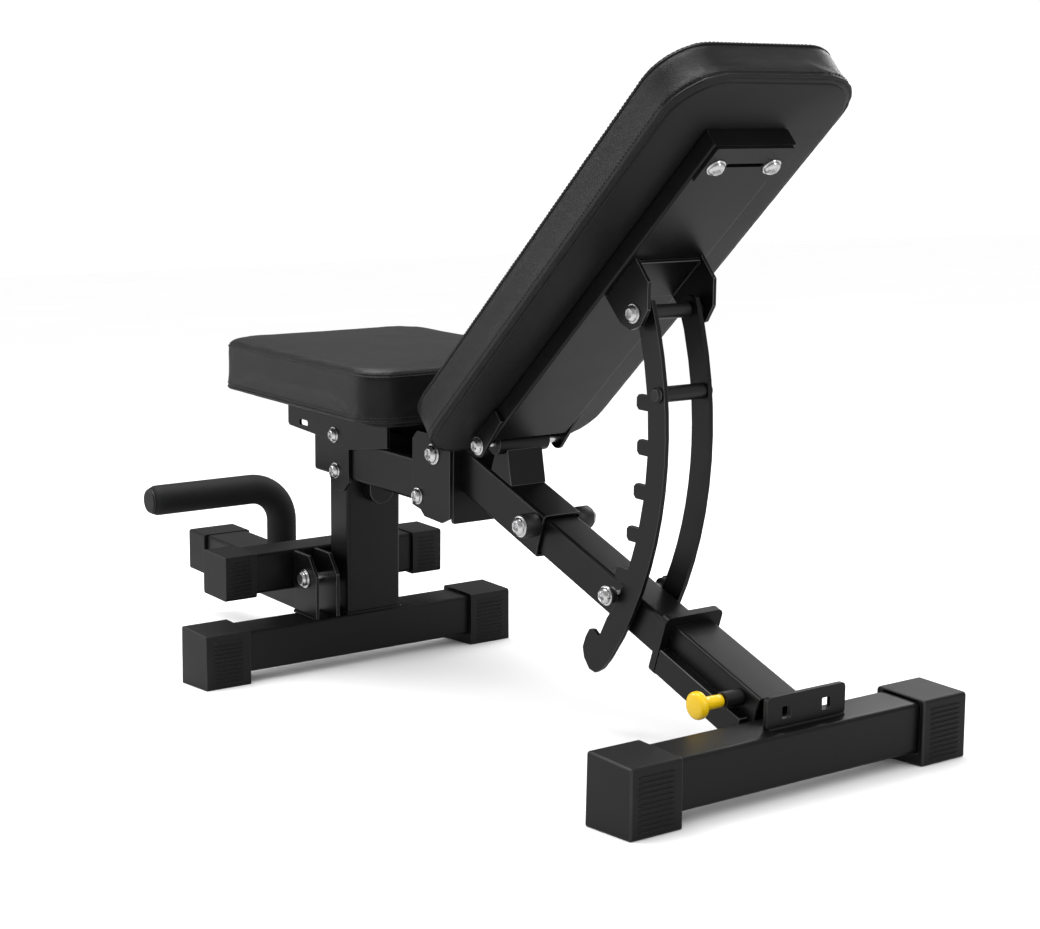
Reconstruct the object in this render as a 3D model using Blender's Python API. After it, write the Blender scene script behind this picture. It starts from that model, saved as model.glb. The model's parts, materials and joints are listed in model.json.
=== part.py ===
"""Adjustable weight bench: a welded steel frame, a tilting backrest held by a toothed ladder, and a telescoping
rear leg locked by a pop-pin.

All sizes are in millimetres in the bench's own level frame: +X runs from the head end's rear stabiliser, X grows
toward the rear, Z is up and y = 0 is the main tubes' mid-plane. The helpers turn them into metres. The empty named
bench_stance then leans the level frame until all four feet stand on the floor.
"""

import bmesh
import bpy
import math
from mathutils import Vector
from mathutils.geometry import tessellate_polygon

MM = 0.001
GAP = 0.3          # clearance between pieces that touch
SEGMENTS = 20      # sides of a bolt or a round bar

# Stance: the rear feet sit this much above the front feet in the level frame
WHEELBASE = 929.3
SOLE_RISE = 72.7
STANCE = math.atan2(SOLE_RISE, WHEELBASE)

# Stabilisers and their rubber caps
TUBE = 60.0
WALL = 3.0
TUBE_ABOVE_SOLE = 17.5
FRONT_X, FRONT_Y, FRONT_LENGTH = -WHEELBASE, -25.0, 517.0
REAR_X, REAR_Y, REAR_LENGTH = 0.0, -20.0, 498.4
CAP_TOP, CAP_BOTTOM, CAP_LENGTH, CAP_RISE = 37.9, 39.0, 70.1, 4.0
CAP_END = 6.0

# Roller bar across the front, foot tube under it, and the carry handle
ROLLER_X, ROLLER_Z, ROLLER_Y, ROLLER_LENGTH = -1003.4, 138.3, -27.0, 370.0
FOOT_Z, FOOT_WIDTH, FOOT_HEIGHT, FOOT_FRONT = 76.0, 74.0, 62.0, -1430.0
HANDLE_X, HANDLE_Z, HANDLE_REACH, HANDLE_BEND = -1187.0, 218.0, 228.0, 55.0
BAR_R, FOAM_R = 12.5, 23.0

# Post and seat beam
POST_X, POST_HALF_X, POST_HALF_Y = -932.0, 26.0, 45.0
BEAM_LEFT, BEAM_RIGHT, BEAM_BOTTOM, BEAM_TOP, BEAM_HALF_Y = -1000.0, -637.0, 279.0, 339.0, 45.0
PLATE = 5.0
SEAT_LEFT, SEAT_RIGHT, SEAT_HALF_Y, SEAT_BOTTOM, SEAT_TOP = -1069.0, -636.0, 171.0, 410.0, 478.0
SEAT_CORNER = 48.0
BOARD = 14.0

# Sloping main tube and the prop tube that the rear leg slides on
SLOPE = math.radians(18.4)
MAIN_TOP_LEFT = (-611.0, 361.0)
MAIN_LENGTH = 176.0
PROP = 50.0
PROP_TOP = (-445.0, 300.6)
PROP_LENGTH = 420.0
REST_PIN = (-292.0, 237.0)
CLEVIS_PIN = (-462.0, 292.0)

# Backrest: pivot, lean, and the depths of its layers behind and in front of the pivot line
TILT_PIVOT = (-542.0, 385.0)
LEAN = math.radians(42.7)
PAD_FOOT, PAD_HEAD, PAD_HALF_Y, PAD_CORNER = -40.0, 671.0, 134.0, 62.0
PAD_BACK, PAD_FRONT = -17.0, -77.0
FRAME_BACK, FRAME_HALF_Y, FRAME_HEAD = 8.9, 60.0, 593.0

# Ladder: the pair of toothed arms that hangs from the backrest
LADDER_PIVOT = (-245.0, 584.0)
ARM_IN, ARM_OUT = 30.5, 36.5
CROSS_BAR = (-216.0, 491.0)

# Rear leg: sleeve over the prop tube, and its travel direction
LEG_DIRECTION = Vector((math.cos(SLOPE), 0, -math.sin(SLOPE)))
SLEEVE_TOP = (-184.0, 220.5)
SLEEVE_LENGTH = 158.0
KNOB = (-67.0, 165.0)


# ---------------------------------------------------------------- scene and helpers

def clear_scene():
    for old in list(bpy.data.objects):
        bpy.data.objects.remove(old, do_unlink=True)


def paint(name, color, roughness, metallic=0.0):
    """A Principled material in one flat colour."""
    material = bpy.data.materials.new(name)
    material.use_nodes = True
    shader = material.node_tree.nodes["Principled BSDF"]
    shader.inputs["Base Color"].default_value = (*color, 1)
    shader.inputs["Roughness"].default_value = roughness
    shader.inputs["Metallic"].default_value = metallic
    return material


def empty_at(name, point, parent=None):
    """A joint's empty at (x, z) on the mid-plane of the level frame, in millimetres."""
    empty = bpy.data.objects.new(name, None)
    bpy.context.scene.collection.objects.link(empty)
    empty["level"] = [point[0], 0.0, point[1]]
    here = Vector(empty["level"])
    if parent is not None:
        empty.parent = parent
        here = here - Vector(parent["level"])
    empty.location = here * MM
    return empty


def finish(bm, name, material, body, smooth=False):
    """Closes a mesh built in level-frame millimetres into an object that hangs from its body's empty."""
    bmesh.ops.remove_doubles(bm, verts=bm.verts, dist=0.001)
    bmesh.ops.recalc_face_normals(bm, faces=bm.faces)
    origin = Vector(body["level"])
    for vertex in bm.verts:
        vertex.co = (vertex.co - origin) * MM
    mesh = bpy.data.meshes.new(name)
    bm.to_mesh(mesh)
    bm.free()
    for face in mesh.polygons:
        face.use_smooth = smooth
    mesh.materials.append(material)
    obj = bpy.data.objects.new(name, mesh)
    bpy.context.scene.collection.objects.link(obj)
    obj.parent = body
    return obj


def rounded(left, right, low, high, radius, steps=3):
    """A rectangle's outline with its four corners rounded, anticlockwise."""
    points = []
    corners = ((right, low, -90), (right, high, 0), (left, high, 90), (left, low, 180))
    for x, z, start in corners:
        cx = x - radius if x == right else x + radius
        cz = z + radius if z == low else z - radius
        for i in range(steps + 1):
            turn = math.radians(start + 90 * i / steps)
            points.append((cx + radius * math.cos(turn), cz + radius * math.sin(turn)))
    return points


def circle(x, z, radius, count=16):
    return [(x + radius * math.cos(math.tau * i / count), z + radius * math.sin(math.tau * i / count))
            for i in range(count)]


def arc(x, z, radius, start, end, steps):
    """Points on an arc, with its angles in degrees."""
    turns = [math.radians(start + (end - start) * i / steps) for i in range(steps + 1)]
    return [(x + radius * math.cos(t), z + radius * math.sin(t)) for t in turns]


def in_plane(origin, across, up):
    """Maps a flat (a, b, depth) to space: a along across, b along up, and depth along their cross product."""
    out = across.cross(up)
    return lambda a, b, depth: origin + across * a + up * b + out * depth


# An XZ outline pushed along -Y keeps x and z as they are: depth is then minus y
SIDE_VIEW = in_plane(Vector((0, 0, 0)), Vector((1, 0, 0)), Vector((0, 0, 1)))


def add_cap(bm, place, outlines, depth):
    flat = [[Vector((a, b, 0)) for a, b in outline] for outline in outlines]
    verts = [bm.verts.new(place(a, b, depth)) for outline in outlines for a, b in outline]
    for triangle in tessellate_polygon(flat):
        bm.faces.new([verts[i] for i in triangle])


def add_wall(bm, place, outline, first, last):
    low = [bm.verts.new(place(a, b, first)) for a, b in outline]
    high = [bm.verts.new(place(a, b, last)) for a, b in outline]
    for i in range(len(outline)):
        j = (i + 1) % len(outline)
        bm.faces.new((low[i], low[j], high[j], high[i]))


def prism(place, outline, first, last, holes=()):
    """A flat outline with through holes, pushed from one depth to another."""
    bm = bmesh.new()
    add_cap(bm, place, [outline, *holes], first)
    add_cap(bm, place, [outline, *holes], last)
    for loop in (outline, *holes):
        add_wall(bm, place, loop, first, last)
    return bm


def plate(outline, y_low, y_high, holes=()):
    """A flat plate parallel to the bench's side, between two y values."""
    return prism(SIDE_VIEW, outline, -y_high, -y_low, holes)


def socket(place, outline, pocket, mouth, floor, end):
    """A block with a blind pocket: the pocket opens at depth mouth and stops at depth floor."""
    bm = bmesh.new()
    add_cap(bm, place, [outline, pocket], mouth)
    add_wall(bm, place, outline, mouth, end)
    add_wall(bm, place, pocket, mouth, floor)
    add_cap(bm, place, [pocket], floor)
    add_cap(bm, place, [outline], end)
    return bm


def lathe(profile, origin, axis, steps=SEGMENTS):
    """Turns (radius, height) points about an axis; both ends lie on the axis."""
    axis = axis.normalized()
    side = axis.orthogonal().normalized()
    other = axis.cross(side)
    bm = bmesh.new()
    rings = []
    for radius, height in profile:
        centre = origin + axis * height
        if radius == 0:
            rings.append([bm.verts.new(centre)])
            continue
        turns = [math.tau * i / steps for i in range(steps)]
        rings.append([bm.verts.new(centre + (side * math.cos(t) + other * math.sin(t)) * radius) for t in turns])
    for low, high in zip(rings, rings[1:]):
        for i in range(steps):
            j = (i + 1) % steps
            corners = [low[i % len(low)], low[j % len(low)], high[j % len(high)], high[i % len(high)]]
            bm.faces.new(list(dict.fromkeys(corners)))
    return bm


def through_bolt(point, half_shank, shank_r, head_r, head=7.0, spacer=None):
    """A bolt along Y at (x, z): a shank between two domed heads whose seats are at y = -half_shank and +half_shank.

    A spacer is (radius, inner y, outer y) of the wider sleeve on each side of the shank.
    """
    h = half_shank
    half = [(shank_r, 0)]
    if spacer is not None:
        wide, first, last = spacer
        half += [(shank_r, first), (wide, first), (wide, last)]
        if last < h:
            half += [(shank_r, last), (shank_r, h)]
    else:
        half += [(shank_r, h)]
    half += [(head_r, h), (head_r, h + head * 0.55), (head_r * 0.7, h + head), (0, h + head)]
    profile = [(radius, -y) for radius, y in reversed(half)] + half[1:]
    return lathe(profile, Vector((point[0], 0, point[1])), Vector((0, 1, 0)))


def sweep(path, outer, inner=None, steps=18):
    """A round bar along a path, or a hose when inner is its bore's radius. The path lies in a plane of constant x."""
    bm = bmesh.new()
    sideways = Vector((1, 0, 0))

    def rings(radius):
        made = []
        for k, point in enumerate(path):
            ahead = path[min(k + 1, len(path) - 1)] - path[max(k - 1, 0)]
            up = sideways.cross(ahead.normalized())
            turns = [math.tau * i / steps for i in range(steps)]
            made.append([bm.verts.new(point + (sideways * math.cos(t) + up * math.sin(t)) * radius) for t in turns])
        return made

    def skin(made):
        for low, high in zip(made, made[1:]):
            for i in range(steps):
                j = (i + 1) % steps
                bm.faces.new((low[i], low[j], high[j], high[i]))

    outside = rings(outer)
    skin(outside)
    if inner is None:
        bm.faces.new(outside[0])
        bm.faces.new(outside[-1])
        return bm
    inside = rings(inner)
    skin(inside)
    for end in (0, -1):
        for i in range(steps):
            j = (i + 1) % steps
            bm.faces.new((outside[end][i], outside[end][j], inside[end][j], inside[end][i]))
    return bm


def cushion(place, left, right, half_y, corner, levels):
    """A pad made of stacked rounded outlines: levels are (depth, inset) from its back to its front."""
    bm = bmesh.new()
    outlines = [rounded(left + inset, right - inset, -half_y + inset, half_y - inset, corner - inset * 0.5, 6)
                for depth, inset in levels]
    add_cap(bm, place, [outlines[0]], levels[0][0])
    for k in range(len(levels) - 1):
        low = [bm.verts.new(place(a, b, levels[k][0])) for a, b in outlines[k]]
        high = [bm.verts.new(place(a, b, levels[k + 1][0])) for a, b in outlines[k + 1]]
        for i in range(len(low)):
            j = (i + 1) % len(low)
            bm.faces.new((low[i], low[j], high[j], high[i]))
    add_cap(bm, place, [outlines[-1]], levels[-1][0])
    return bm


def sides():
    """The two sides of the bench: left is y < 0."""
    return (("left", -1), ("right", 1))


def along_slope(top_left):
    """Places (distance down the slope, y, depth into the tube) from a point on the tube's top face."""
    origin = Vector((top_left[0], 0, top_left[1]))
    return origin, LEG_DIRECTION, Vector((-math.sin(SLOPE), 0, -math.cos(SLOPE)))


def sloping_tube(top_left, length, width, wall, start=0.0):
    """A square tube down the slope, given by its top face's start."""
    origin, down, into = along_slope(top_left)
    centre = origin + into * (width / 2)
    half = width / 2
    place = in_plane(centre, Vector((0, 1, 0)), -into)
    flip = -1 if Vector((0, 1, 0)).cross(-into).dot(down) < 0 else 1
    outside = rounded(-half, half, -half, half, 5.0)
    inside = rounded(-half + wall, half - wall, -half + wall, half - wall, 2.5)
    return prism(place, outside, flip * start, flip * length, [inside])


def slope_point(top_left, distance, depth):
    origin, down, into = along_slope(top_left)
    point = origin + down * distance + into * depth
    return point.x, point.z


def slope_outline(top_left, corners):
    """(distance, depth) corners on a sloping tube as an XZ outline."""
    return [slope_point(top_left, distance, depth) for distance, depth in corners]


def lean_point(u, n):
    """A point of the backrest's side view: u up its length from the pivot, n behind the pivot line."""
    return (TILT_PIVOT[0] + u * math.cos(LEAN) + n * math.sin(LEAN),
            TILT_PIVOT[1] + u * math.sin(LEAN) - n * math.cos(LEAN))


def sole_height(x):
    """Height of the floor under x in the level frame."""
    return (x - FRONT_X) * SOLE_RISE / WHEELBASE


def cut(targets, cutter):
    """Takes one closed shape away from others."""
    cutter.hide_render = True
    cutter.display_type = "WIRE"
    for target in targets:
        hole = target.modifiers.new(cutter.name, "BOOLEAN")
        hole.operation = "DIFFERENCE"
        hole.object = cutter


def drill(targets, point, radius, half=80.0):
    """A hole right across the bench at (x, z)."""
    profile = [(0, -half), (radius, -half), (radius, half), (0, half)]
    bm = lathe(profile, Vector((point[0], 0, point[1])), Vector((0, 1, 0)))
    cut(targets, finish(bm, f"drill_{targets[0].name}_{round(-point[0])}", STEEL, FRAME))


# ---------------------------------------------------------------- stabilisers

def capped_tube(prefix, x, z, y, length, body, cap_outline, cap_length, width, height, cap_names):
    """A tube across the bench with a rubber cap pushed over each end."""
    half = length / 2 - CAP_END - GAP
    outside = rounded(x - width / 2, x + width / 2, z - height / 2, z + height / 2, 5.0)
    inside = rounded(x - width / 2 + WALL, x + width / 2 - WALL, z - height / 2 + WALL, z + height / 2 - WALL, 2.5)
    finish(plate(outside, y - half, y + half, [inside]), prefix, STEEL, body)
    pocket = rounded(x - width / 2 - GAP, x + width / 2 + GAP, z - height / 2 - GAP, z + height / 2 + GAP, 5.0)
    for (side, sign), name in zip(sides(), cap_names):
        outer = -(y + sign * length / 2)
        bm = socket(SIDE_VIEW, cap_outline, pocket, outer + sign * cap_length, outer + sign * CAP_END, outer)
        finish(bm, name, RUBBER, body)


def foot_outline(x, tube_bottom):
    """A foot cap's side outline: a sole cut to lie flat on the floor, sides that lean in, and a flat top."""
    top = tube_bottom + TUBE + CAP_RISE
    round_off = 4.0
    points = [(x - CAP_BOTTOM, sole_height(x - CAP_BOTTOM)), (x + CAP_BOTTOM, sole_height(x + CAP_BOTTOM))]
    points += arc(x + CAP_TOP - round_off, top - round_off, round_off, 0, 90, 3)
    points += arc(x - CAP_TOP + round_off, top - round_off, round_off, 90, 180, 3)
    return points


def build_front_stabiliser():
    outline = foot_outline(FRONT_X, TUBE_ABOVE_SOLE)
    capped_tube("front_stabiliser", FRONT_X, TUBE_ABOVE_SOLE + TUBE / 2, FRONT_Y, FRONT_LENGTH, FRAME, outline,
                CAP_LENGTH, TUBE, TUBE, ("front_foot_left", "front_foot_right"))


def build_rear_stabiliser():
    bottom = TUBE_ABOVE_SOLE + SOLE_RISE
    capped_tube("rear_stabiliser", REAR_X, bottom + TUBE / 2, REAR_Y, REAR_LENGTH, LEG,
                foot_outline(REAR_X, bottom), CAP_LENGTH, TUBE, TUBE, ("rear_foot_left", "rear_foot_right"))


# ---------------------------------------------------------------- front frame

def build_post():
    """The upright between the front stabiliser and the seat beam."""
    low = TUBE_ABOVE_SOLE + TUBE + GAP
    outside = rounded(-POST_HALF_X, POST_HALF_X, -POST_HALF_Y, POST_HALF_Y, 5.0)
    inner_x = POST_HALF_X - WALL
    inner_y = POST_HALF_Y - WALL
    inside = rounded(-inner_x, inner_x, -inner_y, inner_y, 2.5)
    place = in_plane(Vector((POST_X, 0, 0)), Vector((1, 0, 0)), Vector((0, 1, 0)))
    finish(prism(place, outside, low, BEAM_BOTTOM - GAP, [inside]), "post", STEEL, FRAME)


def build_roller_bar():
    outline = rounded(ROLLER_X - 35.5, ROLLER_X + 35.5, ROLLER_Z - 33.4, ROLLER_Z + 32.1, 4.0)
    capped_tube("roller_bar", ROLLER_X, ROLLER_Z, ROLLER_Y, ROLLER_LENGTH, FRAME, outline, 50.7, TUBE - 0.6, TUBE,
                ("roller_cap_left", "roller_cap_right"))


def build_foot_tube():
    """The low tube that runs forward from the front stabiliser under the roller bar, and its end cap."""
    half_y, half_z = FOOT_WIDTH / 2, FOOT_HEIGHT / 2
    outside = rounded(-half_y, half_y, -half_z, half_z, 5.0)
    inside = rounded(-half_y + WALL, half_y - WALL, -half_z + WALL, half_z - WALL, 2.5)
    place = in_plane(Vector((0, 0, FOOT_Z)), Vector((0, 1, 0)), Vector((0, 0, 1)))
    last = FRONT_X - TUBE / 2 - GAP
    finish(prism(place, outside, FOOT_FRONT + CAP_END + GAP, last, [inside]), "foot_tube", STEEL, FRAME)
    cap = rounded(-half_y - 5, half_y + 5, -half_z - 4, half_z + 1.0, 4.0)
    pocket = rounded(-half_y - GAP, half_y + GAP, -half_z - GAP, half_z + GAP, 5.0)
    bm = socket(place, cap, pocket, FOOT_FRONT + 55, FOOT_FRONT + CAP_END, FOOT_FRONT)
    finish(bm, "foot_tube_cap", RUBBER, FRAME)


def handle_path(end_y):
    """Up from the foot tube, round a bend and out to the left."""
    base = FOOT_Z + FOOT_HEIGHT / 2 + GAP
    points = [Vector((HANDLE_X, 0, base)), Vector((HANDLE_X, 0, base + 12))]
    for i in range(9):
        turn = math.radians(90 * i / 8)
        y = -HANDLE_BEND + HANDLE_BEND * math.cos(turn)
        z = HANDLE_Z - HANDLE_BEND + HANDLE_BEND * math.sin(turn)
        points.append(Vector((HANDLE_X, y, z)))
    points.append(Vector((HANDLE_X, end_y, HANDLE_Z)))
    return points


def build_handle():
    finish(sweep(handle_path(-HANDLE_REACH + 6), BAR_R - GAP), "handle_bar", STEEL, FRAME, smooth=True)
    foam = handle_path(-HANDLE_REACH + 4)[1:]
    finish(sweep(foam, FOAM_R, BAR_R), "handle_foam", FOAM, FRAME, smooth=True)
    profile = [(0, 0), (FOAM_R - 4, 0), (FOAM_R - 4, 1.5), (FOAM_R - 6, 4), (0, 4)]
    start = Vector((HANDLE_X, -HANDLE_REACH + 4 - GAP, HANDLE_Z))
    finish(lathe(profile, start, Vector((0, -1, 0))), "handle_plug", RUBBER, FRAME)


def build_roller_bracket():
    """Two upright plates left of the post that grip the roller bar, and the bolt through them."""
    floor = TUBE_ABOVE_SOLE + TUBE + GAP
    left, right, top = -967.5, -903.0, 168.0
    for name, y in (("bracket_plate_outer", -100.0), ("bracket_plate_inner", -66.0)):
        outline = [(left, floor), (right, floor), (right, 140.0), (right - 22, top), (left, top)]
        finish(plate(outline, y, y + PLATE, [circle(-934.0, 133.0, 6.3)]), name, STEEL, FRAME)
    profile = [(0, 0), (8, 0), (11, 3), (11, 7), (14, 7), (14, 9), (6, 9), (6, 50.5), (0, 50.5)]
    start = Vector((-934.0, -100.0 - GAP - 9, 133.0))
    finish(lathe(profile, start, Vector((0, 1, 0))), "bracket_bolt", CHROME, FRAME)


def build_seat_beam():
    """The box beam on the post, and the half-round saddle under its rear end."""
    outside = rounded(-BEAM_HALF_Y, BEAM_HALF_Y, BEAM_BOTTOM, BEAM_TOP, 5.0)
    inside = rounded(-BEAM_HALF_Y + WALL, BEAM_HALF_Y - WALL, BEAM_BOTTOM + WALL, BEAM_TOP - WALL, 2.5)
    place = in_plane(Vector((0, 0, 0)), Vector((0, 1, 0)), Vector((0, 0, 1)))
    finish(prism(place, outside, BEAM_LEFT, BEAM_RIGHT, [inside]), "seat_beam", STEEL, FRAME)
    saddle = [(-20.0, BEAM_BOTTOM - GAP), (-20.0, 262.0), *arc(0, 262, 20, 180, 360, 8), (20.0, BEAM_BOTTOM - GAP)]
    start = POST_X + POST_HALF_X + GAP
    finish(prism(place, saddle, start, start + 22), "beam_saddle", STEEL, FRAME)


def build_seat_brackets():
    """A tee-shaped plate on each side of the beam: its arm carries the seat board, its leg is bolted to the beam."""
    top = SEAT_BOTTOM - BOARD - 2 * GAP
    outline = [(-1072, top), (-1072, 341), (-1068, 337), (-956, 332), (-950, 326), (-950, 288), *
               arc(-922, 288, 28, 180, 270, 4)[1:], (-910, 262), (-895, 276), (-895, 325), (-790, 342),
               (-790, top)]
    slot = rounded(-1038, -1013, 341.5, 350.5, 3.0)
    holes = [slot, circle(-935, 341, 5.3), circle(-931, 289, 5.3)]
    for side, sign in sides():
        low, high = sorted((sign * (BEAM_HALF_Y + GAP), sign * (BEAM_HALF_Y + PLATE)))
        finish(plate(outline, low, high, holes), f"seat_bracket_{side}", STEEL, FRAME)
    beam = bpy.data.objects["seat_beam"]
    for name, point in (("seat_bolt_upper", (-935, 341)), ("seat_bolt_lower", (-931, 289))):
        drill([beam], point, 5.3)
        finish(through_bolt(point, BEAM_HALF_Y + PLATE + GAP, 5.0, 10.5), name, CHROME, FRAME)


def build_seat():
    """A plywood board on the brackets with a padded top."""
    board_top = SEAT_BOTTOM - GAP
    place = in_plane(Vector((0, 0, 0)), Vector((1, 0, 0)), Vector((0, 1, 0)))
    board = rounded(SEAT_LEFT + 14, SEAT_RIGHT - 14, -SEAT_HALF_Y + 14, SEAT_HALF_Y - 14, 38, 4)
    finish(prism(place, board, board_top - BOARD, board_top), "seat_board", BOARDING, FRAME)
    levels = [(SEAT_BOTTOM, 3), (SEAT_BOTTOM + 6, 0), (SEAT_TOP - 22, 1), (SEAT_TOP - 8, 6), (SEAT_TOP, 20)]
    finish(cushion(place, SEAT_LEFT, SEAT_RIGHT, SEAT_HALF_Y, SEAT_CORNER, levels), "seat_pad", LEATHER, FRAME)


def build_side_plates():
    """The two plates that join the beam to the main tube, their through bolts, and the flange between them."""
    outline = [(-712, 379), (-724, 367), (-724, 275), (-703, 271), (-693, 263), (-651, 261),
               (-631, 270), (-631, 379)]
    upper, lower = (-671, 353), (-709, 289)
    for side, sign in sides():
        low, high = sorted((sign * (BEAM_HALF_Y + GAP), sign * (BEAM_HALF_Y + PLATE)))
        finish(plate(outline, low, high, [circle(*upper, 6.3), circle(*lower, 5.3)]), f"side_plate_{side}", STEEL,
               FRAME)
    drill([bpy.data.objects["seat_beam"]], lower, 5.3)
    seat = BEAM_HALF_Y + PLATE + GAP
    finish(through_bolt(upper, seat, 6.0, 13.0, 9.0), "hub_bolt", CHROME, FRAME)
    finish(through_bolt(lower, seat, 5.0, 10.5), "side_plate_bolt", CHROME, FRAME)
    place = in_plane(Vector((0, 0, 0)), Vector((0, 1, 0)), Vector((0, 0, 1)))
    finish(prism(place, rounded(-44, 44, 262, 364, 4.0), -636.4, -631.4), "tube_flange", STEEL, FRAME)


def build_main_tube():
    """The sloping tube behind the seat, cut upright where it meets the flange, and the pin through its end."""
    main = finish(sloping_tube(MAIN_TOP_LEFT, MAIN_LENGTH, TUBE, WALL, -25.0), "main_tube", STEEL, FRAME)
    place = in_plane(Vector((0, 0, 0)), Vector((0, 1, 0)), Vector((0, 0, 1)))
    cut([main], finish(prism(place, rounded(-60, 60, 200, 460, 4.0), -720, -631.0), "tube_trim", STEEL, FRAME))
    origin = slope_point(PROP_TOP, -34, 0)
    prop = finish(sloping_tube(origin, PROP_LENGTH + 34, PROP, WALL), "prop_tube", STEEL, FRAME)
    drill([main, prop], CLEVIS_PIN, 6.3)
    drill([prop], REST_PIN, 5.3)
    spacer = (12.0, TUBE / 2 + GAP, 54.0)
    finish(through_bolt(CLEVIS_PIN, 54.0, 6.0, 12.5, 8.0, spacer), "clevis_pin", CHROME, FRAME)
    spacer = (9.0, ARM_OUT + 1, 47.0)
    finish(through_bolt(REST_PIN, 47.0, 5.0, 11.0, 8.0, spacer), "rest_pin", CHROME, FRAME)


def build_hinge():
    """The bored barrel that carries the backrest's bolt, on a saddle welded to the main tube."""
    barrel = plate(circle(*TILT_PIVOT, 14, 24), -40, 40, [circle(*TILT_PIVOT, 6.4)])
    finish(barrel, "hinge_barrel", STEEL, FRAME)
    x, z = TILT_PIVOT
    foot = [slope_point(MAIN_TOP_LEFT, (x + dx - MAIN_TOP_LEFT[0]) / math.cos(SLOPE), -GAP) for dx in (-24, 22)]
    outline = [foot[0], foot[1], *arc(x, z, 14.0 + GAP, -30, -150, 6)]
    finish(plate(outline, -28, 28), "hinge_saddle", STEEL, FRAME)


# ---------------------------------------------------------------- backrest

def leaning(points):
    return [lean_point(u, n) for u, n in points]


def build_backrest():
    """Padded board on a flat box frame, with a slotted plate across the frame's head end."""
    up = Vector((math.cos(LEAN), 0, math.sin(LEAN)))
    front = Vector((-math.sin(LEAN), 0, math.cos(LEAN)))
    place = in_plane(Vector((TILT_PIVOT[0], 0, TILT_PIVOT[1])), up, Vector((0, 1, 0)))
    flip = 1 if up.cross(Vector((0, 1, 0))).dot(front) > 0 else -1
    board = rounded(PAD_FOOT + 5, PAD_HEAD - 5, -PAD_HALF_Y + 5, PAD_HALF_Y - 5, PAD_CORNER - 5, 6)
    finish(prism(place, board, flip * (-PAD_BACK - 1.5), flip * (-PAD_BACK + 10.5)), "backrest_board", BOARDING, BACK)
    levels = [(-PAD_BACK + 11, 3), (-PAD_BACK + 17, 0), (-PAD_FRONT - 20, 1), (-PAD_FRONT - 7, 6), (-PAD_FRONT, 18)]
    levels = [(flip * depth, inset) for depth, inset in levels]
    finish(cushion(place, PAD_FOOT, PAD_HEAD, PAD_HALF_Y, PAD_CORNER, levels), "backrest_pad", LEATHER, BACK)
    low, high = -FRAME_BACK, -PAD_BACK - 1.5 - GAP
    across = in_plane(Vector((TILT_PIVOT[0], 0, TILT_PIVOT[1])), Vector((0, 1, 0)), front)
    turn = 1 if Vector((0, 1, 0)).cross(front).dot(up) > 0 else -1
    outside = rounded(-FRAME_HALF_Y, FRAME_HALF_Y, low, high, 3.0)
    inside = rounded(-FRAME_HALF_Y + 2.5, FRAME_HALF_Y - 2.5, low + 2.5, high - 2.5, 1.0)
    frame = socket(across, outside, inside, turn * 24, turn * (FRAME_HEAD - WALL), turn * FRAME_HEAD)
    finish(frame, "backrest_frame", STEEL, BACK)
    slot = rounded(561, 567, -27, 27, 2.9)
    holes = [slot, circle(562, -41, 5.3), circle(562, 41, 5.3)]
    head = rounded(536, 592, -57, 57, 3.0)
    depths = sorted((flip * -(FRAME_BACK + GAP), flip * -(FRAME_BACK + 4)))
    finish(prism(place, head, *depths, holes), "head_plate", STEEL, BACK)
    back = -front
    for side, sign in sides():
        start = Vector((TILT_PIVOT[0], 0, TILT_PIVOT[1])) + up * 562 + back * (FRAME_BACK + GAP)
        start.y = sign * 41
        profile = [(0, 0), (5, 0), (5, 4), (10.5, 4), (10.5, 8), (7.5, 11), (0, 11)]
        finish(lathe(profile, start, back), f"head_bolt_{side}", CHROME, BACK)


def build_backrest_hinge():
    """A lug on each side of the box frame, and the bolt through them and the barrel."""
    outline = leaning([(62, 6), (62, -12), (20, -14)]) + [
        lean_point(15 * math.cos(t), 15 * math.sin(t))
        for t in (math.radians(-100 - 160 * i / 8) for i in range(9))]
    for side, sign in sides():
        low, high = sorted((sign * (FRAME_HALF_Y + GAP), sign * (FRAME_HALF_Y + PLATE)))
        finish(plate(outline, low, high, [circle(*TILT_PIVOT, 6.3)]), f"hinge_lug_{side}", STEEL, BACK)
    finish(through_bolt(TILT_PIVOT, FRAME_HALF_Y + PLATE + GAP, 6.0, 11.0), "hinge_bolt", CHROME, BACK)


def build_ladder_bracket():
    """Two ears and a base under the box frame, which hold the ladder's pivot bolt."""
    low = FRAME_BACK + GAP
    outline = leaning([(324, low), (398, low), (398, 44), (376, 68), (353, 74), (335, 66), (326, 48)])
    for side, sign in sides():
        near, far = sorted((sign * 47.0, sign * 52.0))
        finish(plate(outline, near, far, [circle(*LADDER_PIVOT, 6.3)]), f"ladder_ear_{side}", STEEL, BACK)
    base = leaning([(326, low), (394, low), (394, low + 5), (326, low + 5)])
    finish(plate(base, -46.7, 46.7), "ladder_base", STEEL, BACK)
    spacer = (9.5, ARM_OUT + GAP, 47.0 - GAP)
    finish(through_bolt(LADDER_PIVOT, 52.0 + GAP, 6.0, 10.5, 7.0, spacer), "ladder_bolt", CHROME, BACK)


# ---------------------------------------------------------------- ladder

ARM_ENDS = ((-237.0, 612.0), (-200.5, 433.0), (-298.0, 153.0))
ARM_WIDTH = 32.0
TOOTH_PITCH, TOOTH_FIRST, TOOTH_HEIGHT, TOOTH_REACH, TEETH = 53.5, 264.5, 18.5, 20.0, 5


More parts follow.
